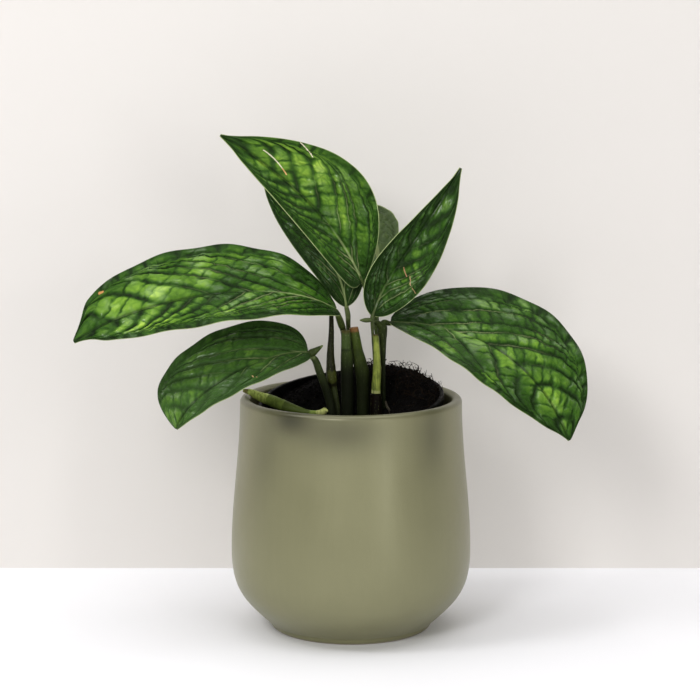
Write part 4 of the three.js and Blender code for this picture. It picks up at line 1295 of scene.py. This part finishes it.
leaf_veins = vein_group()
leaf_scar = scar_group()
blade_builder = blade_tree()
for number, (name, details) in enumerate(LEAVES.items()):
    leaf = {**PLAIN_LEAF, **details, "length": midrib_length(details["spine"])}
    seed = LEAF_SEED + LEAF_SEED_STEP * number
    grid_start = mesh_object("blade_start", [(0, 0, 0), (1, 0, 0), (0, 1, 0)], [(0, 1, 2)])
    values = {"Columns": BLADE_COLUMNS, "Rows": int(leaf["length"] * BLADE_ROWS_PER_MM)}
    values.update({f"Spine {i + 1}": point for i, point in enumerate(leaf["spine"])})
    for title, field in (("Cup", "cup"), ("Ripple", "ripple"), ("Length", "length")):
        values[title] = float(leaf[field])
    for half in ("left", "right"):
        values[half.title() + " Half"] = leaf[half][:3]
        values[half.title() + " Lobe"] = float(leaf[half][3])
    left_veins, right_veins = vein_habits(leaf)
    values.update({
        "Facing Base": leaf["facing"][0], "Facing Tip": leaf["facing"][1],
        "Fold Base": float(leaf["fold"][0]), "Fold Tip": float(leaf["fold"][1]),
        "Left Veins": left_veins, "Right Veins": right_veins, "Seed": seed,
        "Quilt Height": QUILT_HEIGHT, "Tip Reach": leaf["tip"], "Point": leaf["point"],
        "Thickness": BLADE_THICKNESS,
        "Upper Side": upper_material(name, leaf, seed), "Underside": under_material(name, leaf, seed)})
    blade_piece = grown(name + "_blade", grid_start, blade_builder, values)
    bpy.data.objects.remove(grid_start)
    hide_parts(name)
    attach(blade_piece, "root")


# Table, wall and light
# A white table against a warm white wall. A broad lamp overhead and one in front give the
# even light, and smaller ones at the left and right draw the edges and the pot's shine.
WALL_BEHIND = 137.7
WALL_REACH = 1500
WALL_HEIGHT = 1400
TABLE_REACH = 6000
ROOM_COLOUR = (0.97, 0.955, 0.91)
ROOM_LIGHT = 0.29
# Each lamp's place and aim in metres, its width and height, and its power in watts.
LAMPS = {
    "overhead": ((0.15, -0.25, 1.7), (0.1, -0.1, 0.0), 1.6, 1.2, 14),
    "window": ((-0.55, -1.35, 0.9), (0, 0, 0.12), 0.4, 0.4, 8.5),
    "left": ((-0.85, -0.35, 1.25), (0, 0, 0.12), 0.3, 0.3, 4.5),
    "front": ((0.2, -1.8, 0.7), (0, 0, 0.05), 1.6, 1.0, 5),
    "front_right": ((0.84, -1.24, 0.35), (0, 0, 0.09), 0.15, 0.7, 2.5),
}


def plain_material(name, colour, roughness):
    material, _, shader, _ = new_material(name)
    dress(shader, Base_Color=colour, Roughness=roughness)
    return material


def wall_material():
    """A painted wall that only shows from the front, and casts no shadow."""
    material = plain_material("wall_paint", srgb("dfdbd7"), 0.9)
    tree = material.node_tree
    clear = tree.nodes.new("ShaderNodeBsdfTransparent")
    mixer = tree.nodes.new("ShaderNodeMixShader")
    back = tree.nodes.new("ShaderNodeNewGeometry")
    rays = tree.nodes.new("ShaderNodeLightPath")
    hidden = Field(back.outputs["Backfacing"]).most(Field(rays.outputs["Is Shadow Ray"]))
    feed(mixer.inputs[0], hidden)
    tree.links.new(tree.nodes["Principled BSDF"].outputs[0], mixer.inputs[1])
    tree.links.new(clear.outputs[0], mixer.inputs[2])
    tree.links.new(mixer.outputs[0], tree.nodes["Material Output"].inputs[0])
    return material


def lamp(name, place, aim, width, height, power):
    data = bpy.data.lights.new(name, "AREA")
    data.shape = "RECTANGLE"
    data.size = width
    data.size_y = height
    data.energy = power
    light = bpy.data.objects.new(name, data)
    light.location = place
    light.rotation_euler = (Vector(aim) - Vector(place)).to_track_quat("-Z", "Y").to_euler()
    scene.collection.objects.link(light)


table_corners = [(-TABLE_REACH, -TABLE_REACH, 0), (TABLE_REACH, -TABLE_REACH, 0),
                 (TABLE_REACH, TABLE_REACH, 0), (-TABLE_REACH, TABLE_REACH, 0)]
wall_corners = [(-WALL_REACH, WALL_BEHIND, 0), (WALL_REACH, WALL_BEHIND, 0),
                (WALL_REACH, WALL_BEHIND, WALL_HEIGHT), (-WALL_REACH, WALL_BEHIND, WALL_HEIGHT)]
table = mesh_object("table", table_corners, [(0, 1, 2, 3)])
table.data.materials.append(plain_material("table_white", srgb("f0f0f4"), 0.6))
wall = mesh_object("wall", wall_corners, [(0, 1, 2, 3)])
wall.data.materials.append(wall_material())
for name, settings in LAMPS.items():
    lamp(name, *settings)
world = bpy.data.worlds.new("room")
world.use_nodes = True
background = world.node_tree.nodes["Background"]
background.inputs["Color"].default_value = (*ROOM_COLOUR, 1)
background.inputs["Strength"].default_value = ROOM_LIGHT
scene.world = world
scene.view_settings.view_transform = "Standard"
